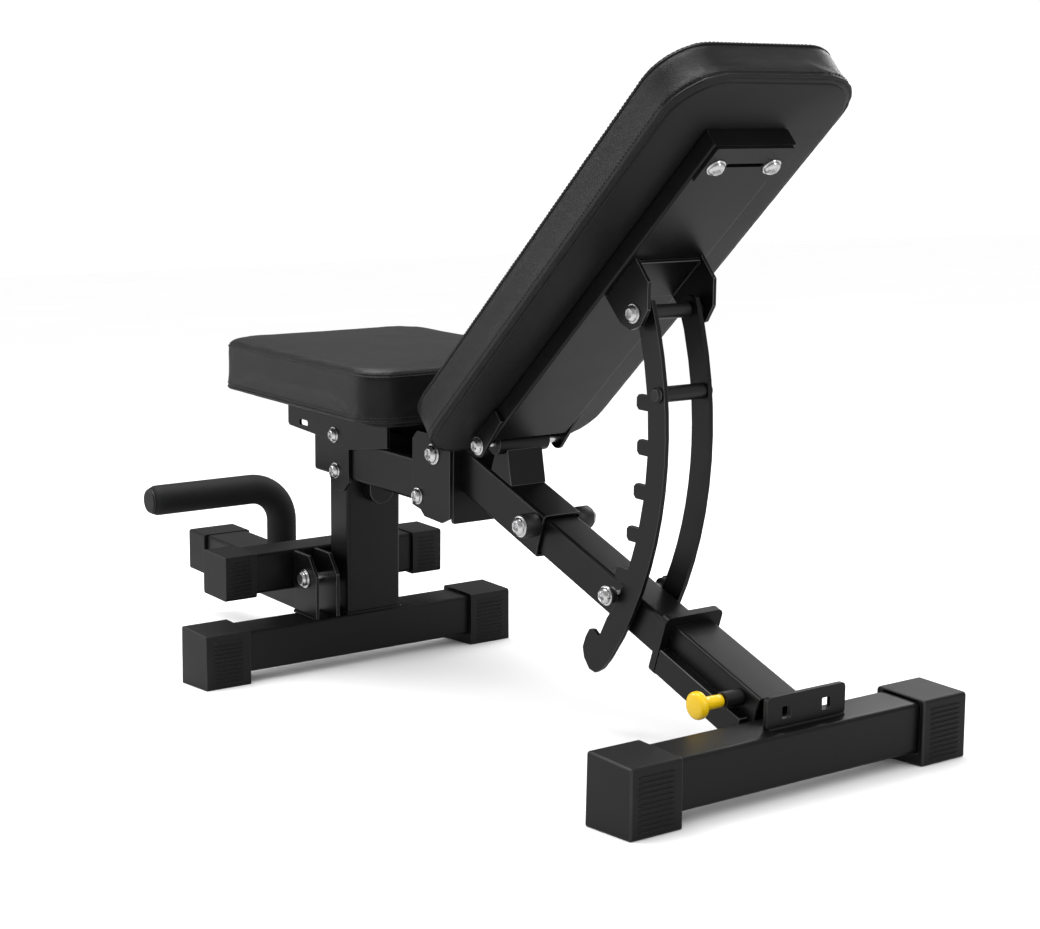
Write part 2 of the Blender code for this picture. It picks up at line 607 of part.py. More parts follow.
def circle_through(a, b, c):
    """Centre and radius of the circle through three points."""
    ax, ay = a[0] - c[0], a[1] - c[1]
    bx, by = b[0] - c[0], b[1] - c[1]
    det = 2 * (ax * by - ay * bx)
    ux = (by * (ax * ax + ay * ay) - ay * (bx * bx + by * by)) / det
    uy = (ax * (bx * bx + by * by) - bx * (ax * ax + ay * ay)) / det
    return (c[0] + ux, c[1] + uy), math.hypot(ux, uy)


def arm_outline(toothed):
    """A curved arm with a long outer arc. The toothed one has even teeth on its inner edge and a hook at its foot."""
    (cx, cz), outer = circle_through(*ARM_ENDS)
    inner = outer - ARM_WIDTH

    def on_arc(radius, z):
        return cx + math.sqrt(radius * radius - (z - cz) ** 2), z

    outside = [on_arc(outer, 153.0 + (600.0 - 153.0) * i / 14) for i in range(15)]
    head = arc(LADDER_PIVOT[0], LADDER_PIVOT[1], 17.0, 30, 175, 6)
    inside = []
    for k in reversed(range(TEETH)):
        middle = TOOTH_FIRST + TOOTH_PITCH * k
        high, low = middle + TOOTH_HEIGHT / 2, middle - TOOTH_HEIGHT / 2
        root_high, root_low = on_arc(inner, high), on_arc(inner, low)
        tip = (root_high[0] + root_low[0]) / 2 - TOOTH_REACH
        inside += [(root_high[0], high), (tip + 4, high), (tip, high - 4), (tip, low + 4), (tip + 4, low),
                   (root_low[0], low)]
    neck = [on_arc(inner, 560.0), on_arc(inner, 525.0)]
    if not toothed:
        edge = [on_arc(inner, 525.0 - 25.0 * i) for i in range(1, 14)]
        return [*outside[1:], *head, *neck, *edge, on_arc(inner + 10, 182.0)]
    hook = [on_arc(inner, 225.0), (-304.0, 205.0), (-317.0, 181.0), (-320.0, 177.5), (-331.0, 184.5),
            (-338.0, 183.5), (-345.0, 173.0), (-351.0, 158.0), (-348.0, 145.0), (-337.0, 132.5), (-325.0, 130.5),
            (-312.0, 138.0)]
    return [*outside, *head, *neck, *inside, *hook]


def build_ladder():
    """The toothed left arm, the plain right arm and the bar that holds them apart."""
    holes = [circle(*LADDER_PIVOT, 6.3), circle(*CROSS_BAR, 6.3)]
    for side, sign in sides():
        low, high = sorted((sign * ARM_IN, sign * ARM_OUT))
        finish(plate(arm_outline(side == "left"), low, high, holes), f"ladder_arm_{side}", STEEL, LADDER)
    h, seat = ARM_IN - GAP, ARM_OUT + GAP
    profile = [(0, -seat - 5), (7, -seat - 5), (9.5, -seat - 2), (9.5, -seat), (6, -seat), (6, -h), (9.5, -h),
               (9.5, h), (6, h), (6, seat), (9.5, seat), (9.5, seat + 2), (7, seat + 5), (0, seat + 5)]
    bar = lathe(profile, Vector((CROSS_BAR[0], 0, CROSS_BAR[1])), Vector((0, 1, 0)))
    finish(bar, "ladder_cross_bar", BLACKENED, LADDER)


# ---------------------------------------------------------------- rear leg

def build_rear_leg():
    """The sleeve that slides on the prop tube, with its collar, side rails and the plate on the rear stabiliser."""
    sleeve = finish(sloping_tube(SLEEVE_TOP, SLEEVE_LENGTH, TUBE, WALL), "leg_sleeve", STEEL, LEG)
    origin, down, into = along_slope(SLEEVE_TOP)
    centre = origin + into * (TUBE / 2)
    place = in_plane(centre, Vector((0, 1, 0)), -into)
    flip = -1 if Vector((0, 1, 0)).cross(-into).dot(down) < 0 else 1
    collar = prism(place, rounded(-44, 44, -36, 42, 8.0, 4), flip * -10.3, flip * -0.3,
                   [rounded(-27, 27, -27, 27, 2.5)])
    finish(collar, "leg_collar", STEEL, LEG)
    for side, sign in sides():
        top = 30 if side == "left" else 12
        rail = slope_outline(SLEEVE_TOP, [(GAP, top), (150, top), (150, 38), (146, 62), (GAP, 62)])
        low, high = sorted((sign * (TUBE / 2 + GAP), sign * 43.0))
        finish(plate(rail, low, high), f"leg_rail_{side}", STEEL, LEG)
    plate_low = TUBE_ABOVE_SOLE + SOLE_RISE + TUBE + GAP
    upright = in_plane(Vector((0, 0, 0)), Vector((0, 1, 0)), Vector((0, 0, 1)))
    holes = [rounded(y - 6.5, y + 6.5, plate_low + 10, plate_low + 24, 1.0, 1) for y in (-30, 30)]
    bracket = prism(upright, rounded(-59, 59, plate_low, plate_low + 37, 5.0), 5.0, 11.0, holes)
    finish(bracket, "rear_bracket", STEEL, LEG)
    trim = [(-30.0 - GAP, plate_low - 200), (-30.0 - GAP, plate_low), (200, plate_low), (200, plate_low - 200)]
    rails = [bpy.data.objects[f"leg_rail_{side}"] for side, sign in sides()]
    cut([sleeve, *rails], finish(plate(trim, -70, 70), "stabiliser_trim", STEEL, LEG))
    end = [(5.0 - GAP, plate_low - 10), (5.0 - GAP, plate_low + 90), (200, plate_low + 90), (200, plate_low - 10)]
    cut([sleeve, *rails], finish(plate(end, -70, 70), "bracket_trim", STEEL, LEG))
    inward = Vector((KNOB[0], -20, KNOB[1]))
    drill_pocket = lathe([(0, 0), (4.6, 0), (4.6, 40), (0, 40)], inward, Vector((0, -1, 0)))
    cut([sleeve], finish(drill_pocket, "pin_bore", STEEL, LEG))


def build_pop_pin():
    """A barrel on the sleeve's left side, and the yellow knob whose plunger drops into the prop tube."""
    start = Vector((KNOB[0], 0, KNOB[1]))
    out = Vector((0, -1, 0))
    barrel = in_plane(start, Vector((1, 0, 0)), Vector((0, 0, 1)))
    finish(prism(barrel, circle(0, 0, 10, 20), TUBE / 2 + GAP, 56.0, [circle(0, 0, 4.6)]), "pin_barrel", BLACKENED, LEG)
    profile = [(0, 23), (4, 24), (4, 57.5), (7.5, 58), (8, 82), (10, 85), (14.5, 87), (16, 89.5), (16, 94), (14, 97),
               (0, 98)]
    finish(lathe(profile, start, out, 24), "pop_knob", KNOB_YELLOW, PIN, smooth=True)
    travel = Vector((KNOB[0], 0, KNOB[1])) + LEG_DIRECTION * 22
    prop = bpy.data.objects["prop_tube"]
    across = Vector((math.sin(SLOPE), 0, math.cos(SLOPE))) * 4.8
    ahead = LEG_DIRECTION * 4.8
    low, high = start - ahead, travel + ahead
    corners = [low - across, high - across, high + across, low + across]
    outline = [(point.x, point.z) for point in corners]
    cut([prop], finish(plate(outline, -40, -15), "plunger_slot", STEEL, FRAME))


# ---------------------------------------------------------------- assembly

def stand_on_floor():
    """Moves the leaned bench so that the feet touch z = 0 and the origin is under its middle."""
    bpy.context.view_layer.update()
    graph = bpy.context.evaluated_depsgraph_get()
    low, high = Vector((1e9,) * 3), Vector((-1e9,) * 3)
    for obj in bpy.context.scene.objects:
        if obj.type != "MESH" or obj.hide_render:
            continue
        shape = obj.evaluated_get(graph)
        for vertex in shape.data.vertices:
            here = shape.matrix_world @ vertex.co
            low = Vector(map(min, low, here))
            high = Vector(map(max, high, here))
    bench_stance.location -= Vector(((low.x + high.x) / 2, (low.y + high.y) / 2, low.z))
    bpy.context.view_layer.update()


clear_scene()
STEEL = paint("powder_coated_steel", (0.022, 0.022, 0.024), 0.42, 0.0)
BLACKENED = paint("blackened_steel", (0.02, 0.02, 0.022), 0.35, 0.6)
CHROME = paint("chrome", (0.75, 0.75, 0.76), 0.12, 1.0)
RUBBER = paint("black_rubber", (0.018, 0.018, 0.018), 0.62)
FOAM = paint("black_foam", (0.02, 0.02, 0.021), 0.85)
LEATHER = paint("black_leatherette", (0.02, 0.02, 0.021), 0.45)
BOARDING = paint("grey_vinyl_board", (0.045, 0.045, 0.047), 0.6)
KNOB_YELLOW = paint("yellow_plastic", (0.9, 0.55, 0.02), 0.25)

bench_stance = empty_at("bench_stance", (0.0, 0.0))
bench_stance.rotation_euler = (0, STANCE, 0)
FRAME = empty_at("frame_body", (0.0, 0.0), bench_stance)
BACK = empty_at("backrest_tilt", TILT_PIVOT, bench_stance)
LADDER = empty_at("ladder_swing", LADDER_PIVOT, BACK)
LEG = empty_at("leg_extension", SLEEVE_TOP, bench_stance)
PIN = empty_at("pop_pin", KNOB, LEG)

build_front_stabiliser()
build_post()
build_roller_bar()
build_foot_tube()
build_handle()
build_roller_bracket()
build_seat_beam()
build_seat_brackets()
build_seat()
build_side_plates()
build_main_tube()
build_hinge()
build_backrest()
build_backrest_hinge()
build_ladder_bracket()
build_ladder()
build_rear_leg()
build_rear_stabiliser()
build_pop_pin()
stand_on_floor()
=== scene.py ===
"""Looks for the adjustable weight bench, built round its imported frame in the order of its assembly."""

import json
import math

import bmesh
import bpy
import numpy as np
from mathutils import Matrix, Vector
from mathutils.bvhtree import BVHTree

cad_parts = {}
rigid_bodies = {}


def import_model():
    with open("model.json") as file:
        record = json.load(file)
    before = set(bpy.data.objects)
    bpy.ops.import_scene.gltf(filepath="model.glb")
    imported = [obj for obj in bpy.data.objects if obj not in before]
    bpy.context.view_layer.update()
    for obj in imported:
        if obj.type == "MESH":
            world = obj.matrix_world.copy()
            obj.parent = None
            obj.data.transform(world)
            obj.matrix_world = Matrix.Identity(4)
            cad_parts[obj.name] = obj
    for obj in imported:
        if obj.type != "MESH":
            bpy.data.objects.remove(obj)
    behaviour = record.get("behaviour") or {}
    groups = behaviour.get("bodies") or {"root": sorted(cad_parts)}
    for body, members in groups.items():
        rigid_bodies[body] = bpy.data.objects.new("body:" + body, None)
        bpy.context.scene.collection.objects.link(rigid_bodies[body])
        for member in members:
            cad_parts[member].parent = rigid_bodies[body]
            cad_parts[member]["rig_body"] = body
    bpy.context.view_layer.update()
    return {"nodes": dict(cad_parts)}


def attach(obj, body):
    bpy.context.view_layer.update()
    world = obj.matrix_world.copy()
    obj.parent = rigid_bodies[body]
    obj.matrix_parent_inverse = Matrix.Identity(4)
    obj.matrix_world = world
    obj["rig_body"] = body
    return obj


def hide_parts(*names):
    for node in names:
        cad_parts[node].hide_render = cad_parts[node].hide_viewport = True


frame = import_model()


# ---------------------------------------------------------------- room
# A pale seamless floor under a soft overhead light, with two side panels for the black steel to mirror.
# The bench is drawn in its own level frame, in millimetres, and leans by STANCE to stand on all four feet.
STANCE = math.atan2(72.7, 929.3)
LEVEL_ORIGIN = (686.47379, 25.0, -72.47853)


def turned_level(vectors):
    """Directions of the level frame in the row frame: a turn by STANCE about Y."""
    v = np.asarray(vectors, float)
    c, s = math.cos(STANCE), math.sin(STANCE)
    return np.stack([c * v[..., 0] + s * v[..., 2], v[..., 1], c * v[..., 2] - s * v[..., 0]], -1)


def level(points):
    """Row-frame metres of level-frame millimetres: the turn by STANCE, then the shift to the origin."""
    return (turned_level(points) + LEVEL_ORIGIN) * 0.001


def surface(name, points, faces, smooth=True):
    """An object at the origin with these points, in metres, and these faces."""
    mesh = bpy.data.meshes.new(name)
    mesh.from_pydata(np.asarray(points).reshape(-1, 3).tolist(), [], [list(map(int, f)) for f in faces])
    mesh.update()
    if smooth:
        mesh.polygons.foreach_set("use_smooth", np.ones(len(mesh.polygons), bool))
    obj = bpy.data.objects.new(name, mesh)
    bpy.context.scene.collection.objects.link(obj)
    return obj


def link(tree, *pairs):
    """Joins each pair of sockets (output, input) in the node tree."""
    for out, into in pairs:
        tree.links.new(out, into)


def add(tree, kind, **values):
    """A node with its properties set, and its input sockets too where the name is a socket's."""
    node = tree.nodes.new(kind)
    for key, value in values.items():
        if key in node.bl_rna.properties:
            setattr(node, key, value)
        else:
            node.inputs[key.replace("_", " ").title()].default_value = value
    return node


def grouped(name, inputs, outputs):
    """A shader node group: each input socket is (name, kind, value), and each output is (name, kind)."""
    tree = bpy.data.node_groups.new(name, "ShaderNodeTree")
    for label, kind, value in inputs:
        socket = tree.interface.new_socket(label, in_out="INPUT", socket_type="NodeSocket" + kind)
        socket.default_value = value
    for label, kind in outputs:
        tree.interface.new_socket(label, in_out="OUTPUT", socket_type="NodeSocket" + kind)
    return tree, tree.nodes.new("NodeGroupInput"), tree.nodes.new("NodeGroupOutput")


def floor_material():
    """Pale matt paint, faintly cloudy, which throws less light back on the black steel than it shows."""
    material = bpy.data.materials.new("studio_floor")
    material.use_nodes = True
    tree = material.node_tree
    shown = tree.nodes["Principled BSDF"]
    shown.inputs["Roughness"].default_value = 0.9
    shown.inputs["Specular IOR Level"].default_value = 0.1
    place = add(tree, "ShaderNodeTexCoord")
    cloud = add(tree, "ShaderNodeTexNoise", scale=0.8, detail=2.0)
    tone = add(tree, "ShaderNodeValToRGB")
    tone.color_ramp.elements[0].color = (0.90, 0.90, 0.90, 1)
    tone.color_ramp.elements[1].color = (0.93, 0.93, 0.93, 1)
    thrown = add(tree, "ShaderNodeBsdfDiffuse")
    thrown.inputs["Color"].default_value = (0.40, 0.40, 0.40, 1)
    seen = add(tree, "ShaderNodeLightPath")
    either = add(tree, "ShaderNodeMixShader")
    link(tree, (place.outputs["Object"], cloud.inputs["Vector"]), (cloud.outputs["Fac"], tone.inputs["Fac"]),
         (tone.outputs["Color"], shown.inputs["Base Color"]),
         (seen.outputs["Is Camera Ray"], either.inputs["Fac"]),
         (thrown.outputs["BSDF"], either.inputs[1]), (shown.outputs["BSDF"], either.inputs[2]),
         (either.outputs["Shader"], tree.nodes["Material Output"].inputs["Surface"]))
    return material


def area_light(name, place, aim, size, energy):
    """A rectangular panel of this size, in metres, and energy, in watts, which faces aim."""
    lamp = bpy.data.lights.new(name, "AREA")
    lamp.shape = "RECTANGLE"
    lamp.size, lamp.size_y, lamp.energy = *size, energy
    obj = bpy.data.objects.new(name, lamp)
    bpy.context.scene.collection.objects.link(obj)
    obj.location = place
    obj.rotation_euler = (Vector(aim) - Vector(place)).to_track_quat("-Z", "Y").to_euler()


FLOOR_REACH = 30
studio_floor = surface("studio_floor", [(x * FLOOR_REACH, y * FLOOR_REACH, 0)
                                        for x, y in ((-1, -1), (1, -1), (1, 1), (-1, 1))], [(0, 1, 2, 3)])
studio_floor.data.materials.append(floor_material())

area_light("overhead_panel", (-0.3, -0.3, 2.9), (0, 0, 0.3), (2.4, 1.8), 78)
area_light("window_panel", (-2.6, -2.4, 1.5), (0, 0, 0.4), (1.0, 1.8), 26)
area_light("rear_panel", (2.8, 0.6, 1.7), (0, 0, 0.4), (0.8, 2.2), 14)
area_light("far_panel", (-0.6, 2.9, 1.9), (0, 0, 0.5), (2.4, 1.0), 26)

scene = bpy.context.scene
world = bpy.data.worlds.new("studio_air")
scene.world = world
world.use_nodes = True
AIR_STRENGTH, AIR_STRENGTH_MIRRORED = 1.12, 0.26
air = world.node_tree.nodes["Background"]
air.inputs["Color"].default_value = (1, 1, 1, 1)
seen = add(world.node_tree, "ShaderNodeLightPath")
strength = add(world.node_tree, "ShaderNodeMapRange")
strength.inputs["To Min"].default_value = AIR_STRENGTH
strength.inputs["To Max"].default_value = AIR_STRENGTH_MIRRORED
link(world.node_tree, (seen.outputs["Is Glossy Ray"], strength.inputs["Value"]),
     (strength.outputs["Result"], air.inputs["Strength"]))
scene.view_settings.view_transform = "Standard"

lens = bpy.data.cameras.new("camera")
lens.lens, lens.sensor_width = 69.97, 36.0
lens.shift_x, lens.shift_y = 0.0097, -0.0107
lens.clip_end = 200
camera = bpy.data.objects.new("camera", lens)
scene.collection.objects.link(camera)
scene.camera = camera
ahead = Vector(turned_level((-0.8030, 0.5690, -0.1774))).normalized()
above = Vector(turned_level((-0.1509, 0.0939, 0.9841)))
right = ahead.cross(above).normalized()
axes = Matrix((right, right.cross(ahead), -ahead)).transposed().to_4x4()
camera.matrix_world = Matrix.Translation(Vector(level((1577.8, -1516.9, 838.6)))) @ axes


# ---------------------------------------------------------------- welded steel frame
# Square steel tube, flat plate and flat bar, welded, then powder coated satin black with a fine orange-peel
# skin.
# Every sheared edge is rounded, and a lighter colour on the rounded faces is a painted highlight.
coat_tree, coat_in, coat_out = grouped(
    "coated_skin",
    [("Color", "Color", (0.01, 0.01, 0.01, 1)), ("Cloud Color", "Color", (0.014, 0.014, 0.014, 1)),
     ("Rim Color", "Color", (0.05, 0.05, 0.05, 1)), ("Dust Color", "Color", (0.06, 0.058, 0.055, 1)),
     ("Roughness", "Float", 0.4), ("Roughness Spread", "Float", 0.1), ("Grain Scale", "Float", 900.0),
     ("Dust", "Float", 0.1)],
    [("Color", "Color"), ("Roughness", "Float"), ("Height", "Float")])
where = add(coat_tree, "ShaderNodeTexCoord")
grain = add(coat_tree, "ShaderNodeTexNoise", detail=3.0)
cloud = add(coat_tree, "ShaderNodeTexNoise", scale=14.0, detail=4.0)
# The rounded edge faces that dressed() marks are mixed towards a lighter colour, broken up by the cloud: a
# painted highlight.
highlight_mask = add(coat_tree, "ShaderNodeAttribute", attribute_name="highlight_mask")
highlight_strength = add(coat_tree, "ShaderNodeMath", operation="MULTIPLY")
facing = add(coat_tree, "ShaderNodeNewGeometry")
axis = add(coat_tree, "ShaderNodeSeparateXYZ")
settled = add(coat_tree, "ShaderNodeMapRange")
settled.inputs["From Min"].default_value = 0.5
dusting = add(coat_tree, "ShaderNodeMath", operation="MULTIPLY")
dusting_cloud = add(coat_tree, "ShaderNodeMath", operation="MULTIPLY")
tone = add(coat_tree, "ShaderNodeMix", data_type="RGBA")
dusted = add(coat_tree, "ShaderNodeMix", data_type="RGBA")
highlighted = add(coat_tree, "ShaderNodeMix", data_type="RGBA")
spread = add(coat_tree, "ShaderNodeMath", operation="MULTIPLY_ADD")
link(coat_tree,
     (where.outputs["Object"], grain.inputs["Vector"]), (where.outputs["Object"], cloud.inputs["Vector"]),
     (coat_in.outputs["Grain Scale"], grain.inputs["Scale"]), (cloud.outputs["Fac"], tone.inputs["Factor"]),
     (coat_in.outputs["Color"], tone.inputs["A"]), (coat_in.outputs["Cloud Color"], tone.inputs["B"]),
     (facing.outputs["Normal"], axis.inputs["Vector"]), (axis.outputs["Z"], settled.inputs["Value"]),
     (settled.outputs["Result"], dusting.inputs[0]), (coat_in.outputs["Dust"], dusting.inputs[1]),
     (dusting.outputs["Value"], dusting_cloud.inputs[0]), (cloud.outputs["Fac"], dusting_cloud.inputs[1]),
     (dusting_cloud.outputs["Value"], dusted.inputs["Factor"]), (tone.outputs["Result"], dusted.inputs["A"]),
     (coat_in.outputs["Dust Color"], dusted.inputs["B"]),
     (highlight_mask.outputs["Fac"], highlight_strength.inputs[0]), (cloud.outputs["Fac"], highlight_strength.inputs[1]),
     (highlight_strength.outputs["Value"], highlighted.inputs["Factor"]), (dusted.outputs["Result"], highlighted.inputs["A"]),
     (coat_in.outputs["Rim Color"], highlighted.inputs["B"]), (highlighted.outputs["Result"], coat_out.inputs["Color"]),
     (cloud.outputs["Fac"], spread.inputs[0]), (coat_in.outputs["Roughness Spread"], spread.inputs[1]),
     (coat_in.outputs["Roughness"], spread.inputs[2]),
     (spread.outputs["Value"], coat_out.inputs["Roughness"]),
     (grain.outputs["Fac"], coat_out.inputs["Height"]))


def skinned(name, tree_group, bump, bump_distance, settings, **shader_values):
    """A Principled material whose colour, roughness and bump come from a node group with its own settings."""
    material = bpy.data.materials.new(name)
    material.use_nodes = True
    tree = material.node_tree
    shader = tree.nodes["Principled BSDF"]
    for label, value in shader_values.items():
        shader.inputs[label.replace("_", " ")].default_value = value
    skin = add(tree, "ShaderNodeGroup")
    skin.node_tree = tree_group
    for label, value in settings.items():
        skin.inputs[label].default_value = value
    relief = add(tree, "ShaderNodeBump")
    relief.inputs["Strength"].default_value = bump
    relief.inputs["Distance"].default_value = bump_distance
    link(tree, (skin.outputs["Color"], shader.inputs["Base Color"]),
         (skin.outputs["Roughness"], shader.inputs["Roughness"]),
         (skin.outputs["Height"], relief.inputs["Height"]),
         (relief.outputs["Normal"], shader.inputs["Normal"]))
    return material


# Its edge colour, far lighter than the coat, is a painted highlight on the rounded edges.
powder_coat = skinned("satin_powder_coat", coat_tree, 0.18, 0.0004, {
    "Color": (0.0022, 0.0022, 0.0024, 1), "Cloud Color": (0.0042, 0.0042, 0.0045, 1),
    "Rim Color": (0.17, 0.17, 0.175, 1), "Roughness": 0.30, "Roughness Spread": 0.14, "Grain Scale": 1100.0,
    "Dust": 0.025}, Specular_IOR_Level=0.34)


BEVELLED_ABOVE = math.radians(32)
SMOOTH_BELOW = math.radians(38)


def dressed(node, finish, width=0.0009):
    """A copy of a CAD node with its coplanar triangles merged and its sharp edges rounded by width.

    The rounded faces carry 1 in a face attribute, which the finish reads to paint them lighter, a painted
    highlight, and flat faces keep flat shading by area weight.
    """
    source = frame["nodes"][node]
    bm = bmesh.new()
    bm.from_mesh(source.data)
    bmesh.ops.remove_doubles(bm, verts=bm.verts, dist=2e-5)
    bmesh.ops.dissolve_limit(bm, angle_limit=math.radians(1.0), verts=bm.verts, edges=bm.edges)
    mark = bm.faces.layers.float.new("highlight_mask")
    sharp = [e for e in bm.edges if len(e.link_faces) == 2 and e.calc_face_angle(0) > BEVELLED_ABOVE]
    made = bmesh.ops.bevel(bm, geom=sharp, offset=width, segments=2, profile=0.5, affect="EDGES",
                           clamp_overlap=True)
    for face in made["faces"]:
        face[mark] = 1.0
    mesh = bpy.data.meshes.new(node + "_coated")
    bm.to_mesh(mesh)
    bm.free()
    mesh.polygons.foreach_set("use_smooth", np.ones(len(mesh.polygons), bool))
    mesh.set_sharp_from_angle(angle=SMOOTH_BELOW)
    mesh.materials.append(finish)
    piece = bpy.data.objects.new(node + "_coated", mesh)
    scene.collection.objects.link(piece)
    even = piece.modifiers.new("flat_faces", "WEIGHTED_NORMAL")
    even.keep_sharp = True
    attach(piece, source["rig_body"])
    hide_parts(node)
    return piece


for node in ("front_stabiliser", "post", "roller_bar", "foot_tube", "bracket_plate_outer",
             "bracket_plate_inner", "seat_beam", "beam_saddle", "side_plate_left", "side_plate_right",
             "tube_flange", "main_tube", "prop_tube", "hinge_barrel", "hinge_saddle", "seat_bracket_left",
             "seat_bracket_right"):
    dressed(node, powder_coat)


RIPPLE_PITCH = 3.2
TIP_SHARE = 0.05


def carried(path, radius, closed, sides=10, ripple=0.0):
    """Points and faces of a round bead carried along a path, in the path's own units.

    At arc length s the radius is radius * (1 + ripple * |sin(pi s / RIPPLE_PITCH)|). The ring at each point
    lies across the path's direction there, measured from the normal of the plane that fits the path best.
    An open bead has a tip of TIP_SHARE of the radius at each end.
    """
    path = np.asarray(path, float)
    if closed:
        ahead_of = np.roll(path, -1, 0) - np.roll(path, 1, 0)
    else:
        ahead_of = np.gradient(path, axis=0)
    ahead_of /= np.linalg.norm(ahead_of, axis=1)[:, None]
    guide = np.linalg.svd(path - path.mean(0), full_matrices=True)[2][2]
    across = np.cross(ahead_of, guide)
    across /= np.linalg.norm(across, axis=1)[:, None]
    upright = np.cross(across, ahead_of)
    run = np.concatenate([[0], np.cumsum(np.linalg.norm(np.diff(path, axis=0), axis=1))])
    wide = radius * (1 + ripple * np.abs(np.sin(math.pi * run / RIPPLE_PITCH)))
    if not closed:
        wide[0] = wide[-1] = radius * TIP_SHARE
    turn = np.linspace(0, 2 * math.pi, sides, endpoint=False)
    ring = np.cos(turn)[None, :, None] * across[:, None] + np.sin(turn)[None, :, None] * upright[:, None]
    points = path[:, None] + ring * wide[:, None, None]
    n = len(path)
    i, j = np.meshgrid(np.arange(n if closed else n - 1), np.arange(sides), indexing="ij")
    i, j = i.ravel(), j.ravel()
    k, m = (i + 1) % n, (j + 1) % sides
    faces = np.stack([i * sides + j, i * sides + m, k * sides + m, k * sides + j], 1).tolist()
    if not closed:
        faces += [list(range(sides))[::-1], [(n - 1) * sides + q for q in range(sides)]]
    return points.reshape(-1, 3), faces


def joined(parts):
    """Points and faces of several surfaces as one."""
    points, faces, first = [], [], 0
    for these, those in parts:
        points.append(these)
        faces += [[q + first for q in face] for face in those]
        first += len(these)
    return np.concatenate(points), faces


def spaced(corners, closed, step):
    """Points about step apart along straight runs between corners."""
    corners = np.asarray(corners, float)
    if closed:
        corners = np.concatenate([corners, corners[:1]])
    run = np.concatenate([[0], np.cumsum(np.linalg.norm(np.diff(corners, axis=0), axis=1))])
    count = max(3, int(run[-1] / step))
    at = np.linspace(0, run[-1], count, endpoint=not closed)
    return np.stack([np.interp(at, run, corners[:, k]) for k in range(3)], 1)


def weld(name, body, paths):
    """Weld beads of 2.4 mm radius with a ripple, along level-frame paths of (corners, closed)."""
    parts = [carried(spaced(corners, closed, 1.1), 2.4, closed, 8, 0.22) for corners, closed in paths]
    points, faces = joined(parts)
    bead = surface(name, level(points), faces)
    bead.data.materials.append(powder_coat)
    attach(bead, body)
    return bead


BAR_TOP = 77.9
weld("post_weld", "front_frame", [
    ([(-958, -45, BAR_TOP), (-906, -45, BAR_TOP), (-906, 45, BAR_TOP), (-958, 45, BAR_TOP)], True),
    ([(-958, -43, 279), (-906, -43, 279), (-906, 43, 279), (-958, 43, 279)], True)])
weld("bracket_weld", "front_frame", [
    ([(-966, -100.5, BAR_TOP), (-904, -100.5, BAR_TOP)], False),
    ([(-966, -60.5, BAR_TOP), (-904, -60.5, BAR_TOP)], False)])
weld("flange_weld", "front_frame", [
    ([(-631.0, -43, 363.6), (-631.0, 43, 363.6)], False)])


# ---------------------------------------------------------------- rubber caps
# Moulded black rubber sockets pushed over the ends of the two stabilisers, the roller bar and the foot tube.
# Level ribs run along both long faces of the four feet and of the roller bar's caps, above a plain band.
# The lighter edge colour is a painted highlight on the caps' rounded edges.
rubber = skinned("moulded_rubber", coat_tree, 0.12, 0.0003, {
    "Color": (0.0045, 0.0045, 0.0047, 1), "Cloud Color": (0.0070, 0.0070, 0.0072, 1),
    "Rim Color": (0.05, 0.05, 0.05, 1), "Roughness": 0.40, "Roughness Spread": 0.12, "Grain Scale": 700.0,
    "Dust": 0.05}, Specular_IOR_Level=0.34)
for node in ("front_foot_left", "front_foot_right", "rear_foot_left", "rear_foot_right", "roller_cap_left",
             "roller_cap_right", "foot_tube_cap", "handle_plug"):
    dressed(node, rubber, 0.0012 if node == "handle_plug" else 0.0022)

RIB_PITCH = 5.9


def rib_runs(x, y_in, y_out, z, half_x):
    """A rib's two level paths, one along each long face of a cap, from near its mouth to short of its end."""
    near, far = y_in + 0.14 * (y_out - y_in), y_out - 0.12 * (y_out - y_in)
    return [[(x + sign * half_x, near, z), (x + sign * half_x, far, z)] for sign in (-1, 1)]


def ribs(name, body, x, y_in, y_out, bottom, half_x, count, low):
    """Level ribs at an even pitch on both long faces; each one is a bead half sunk into its face."""
    parts = [carried(spaced(run, False, 4.0), 1.6, False, 8)
             for z in bottom + low + RIB_PITCH * np.arange(count)
             for run in rib_runs(x, y_in, y_out, z, half_x - 0.0135 * (z - bottom))]
    points, faces = joined(parts)
    band = surface(name, level(points), faces)
    band.data.materials.append(rubber)
    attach(band, body)


for side, sign in (("left", -1), ("right", 1)):
    end = -25.0 + sign * 258.5
    ribs(f"front_foot_{side}_ribs", "front_frame", -929.3, end - sign * 70, end, 0.0, 38.9, 11, 10.5)
    end = -20.0 + sign * 249.2
    ribs(f"rear_foot_{side}_ribs", "rear_leg", 0.0, end - sign * 70, end, 72.7, 38.9, 11, 10.5)
    end = -27.0 + sign * 185.0
    ribs(f"roller_cap_{side}_ribs", "front_frame", -1003.4, end - sign * 50, end, 104.9, 35.4, 9, 9.0)


# ---------------------------------------------------------------- front handle
# A bent steel bar welded to the foot tube, with a foam sleeve pushed over it and a rubber plug in its end.
# The sleeve has its own soft, rounded ends; the plug is dressed with the other rubber caps above.
foam_rubber = skinned("closed_cell_foam", coat_tree, 0.35, 0.0007, {
    "Color": (0.0060, 0.0060, 0.0063, 1), "Cloud Color": (0.0095, 0.0095, 0.0098, 1),
    "Rim Color": (0.02, 0.02, 0.02, 1), "Roughness": 0.62, "Roughness Spread": 0.12, "Grain Scale": 520.0,
    "Dust": 0.06}, Specular_IOR_Level=0.34)


HANDLE_X, GRIP_SIDES = -1187.0, 40


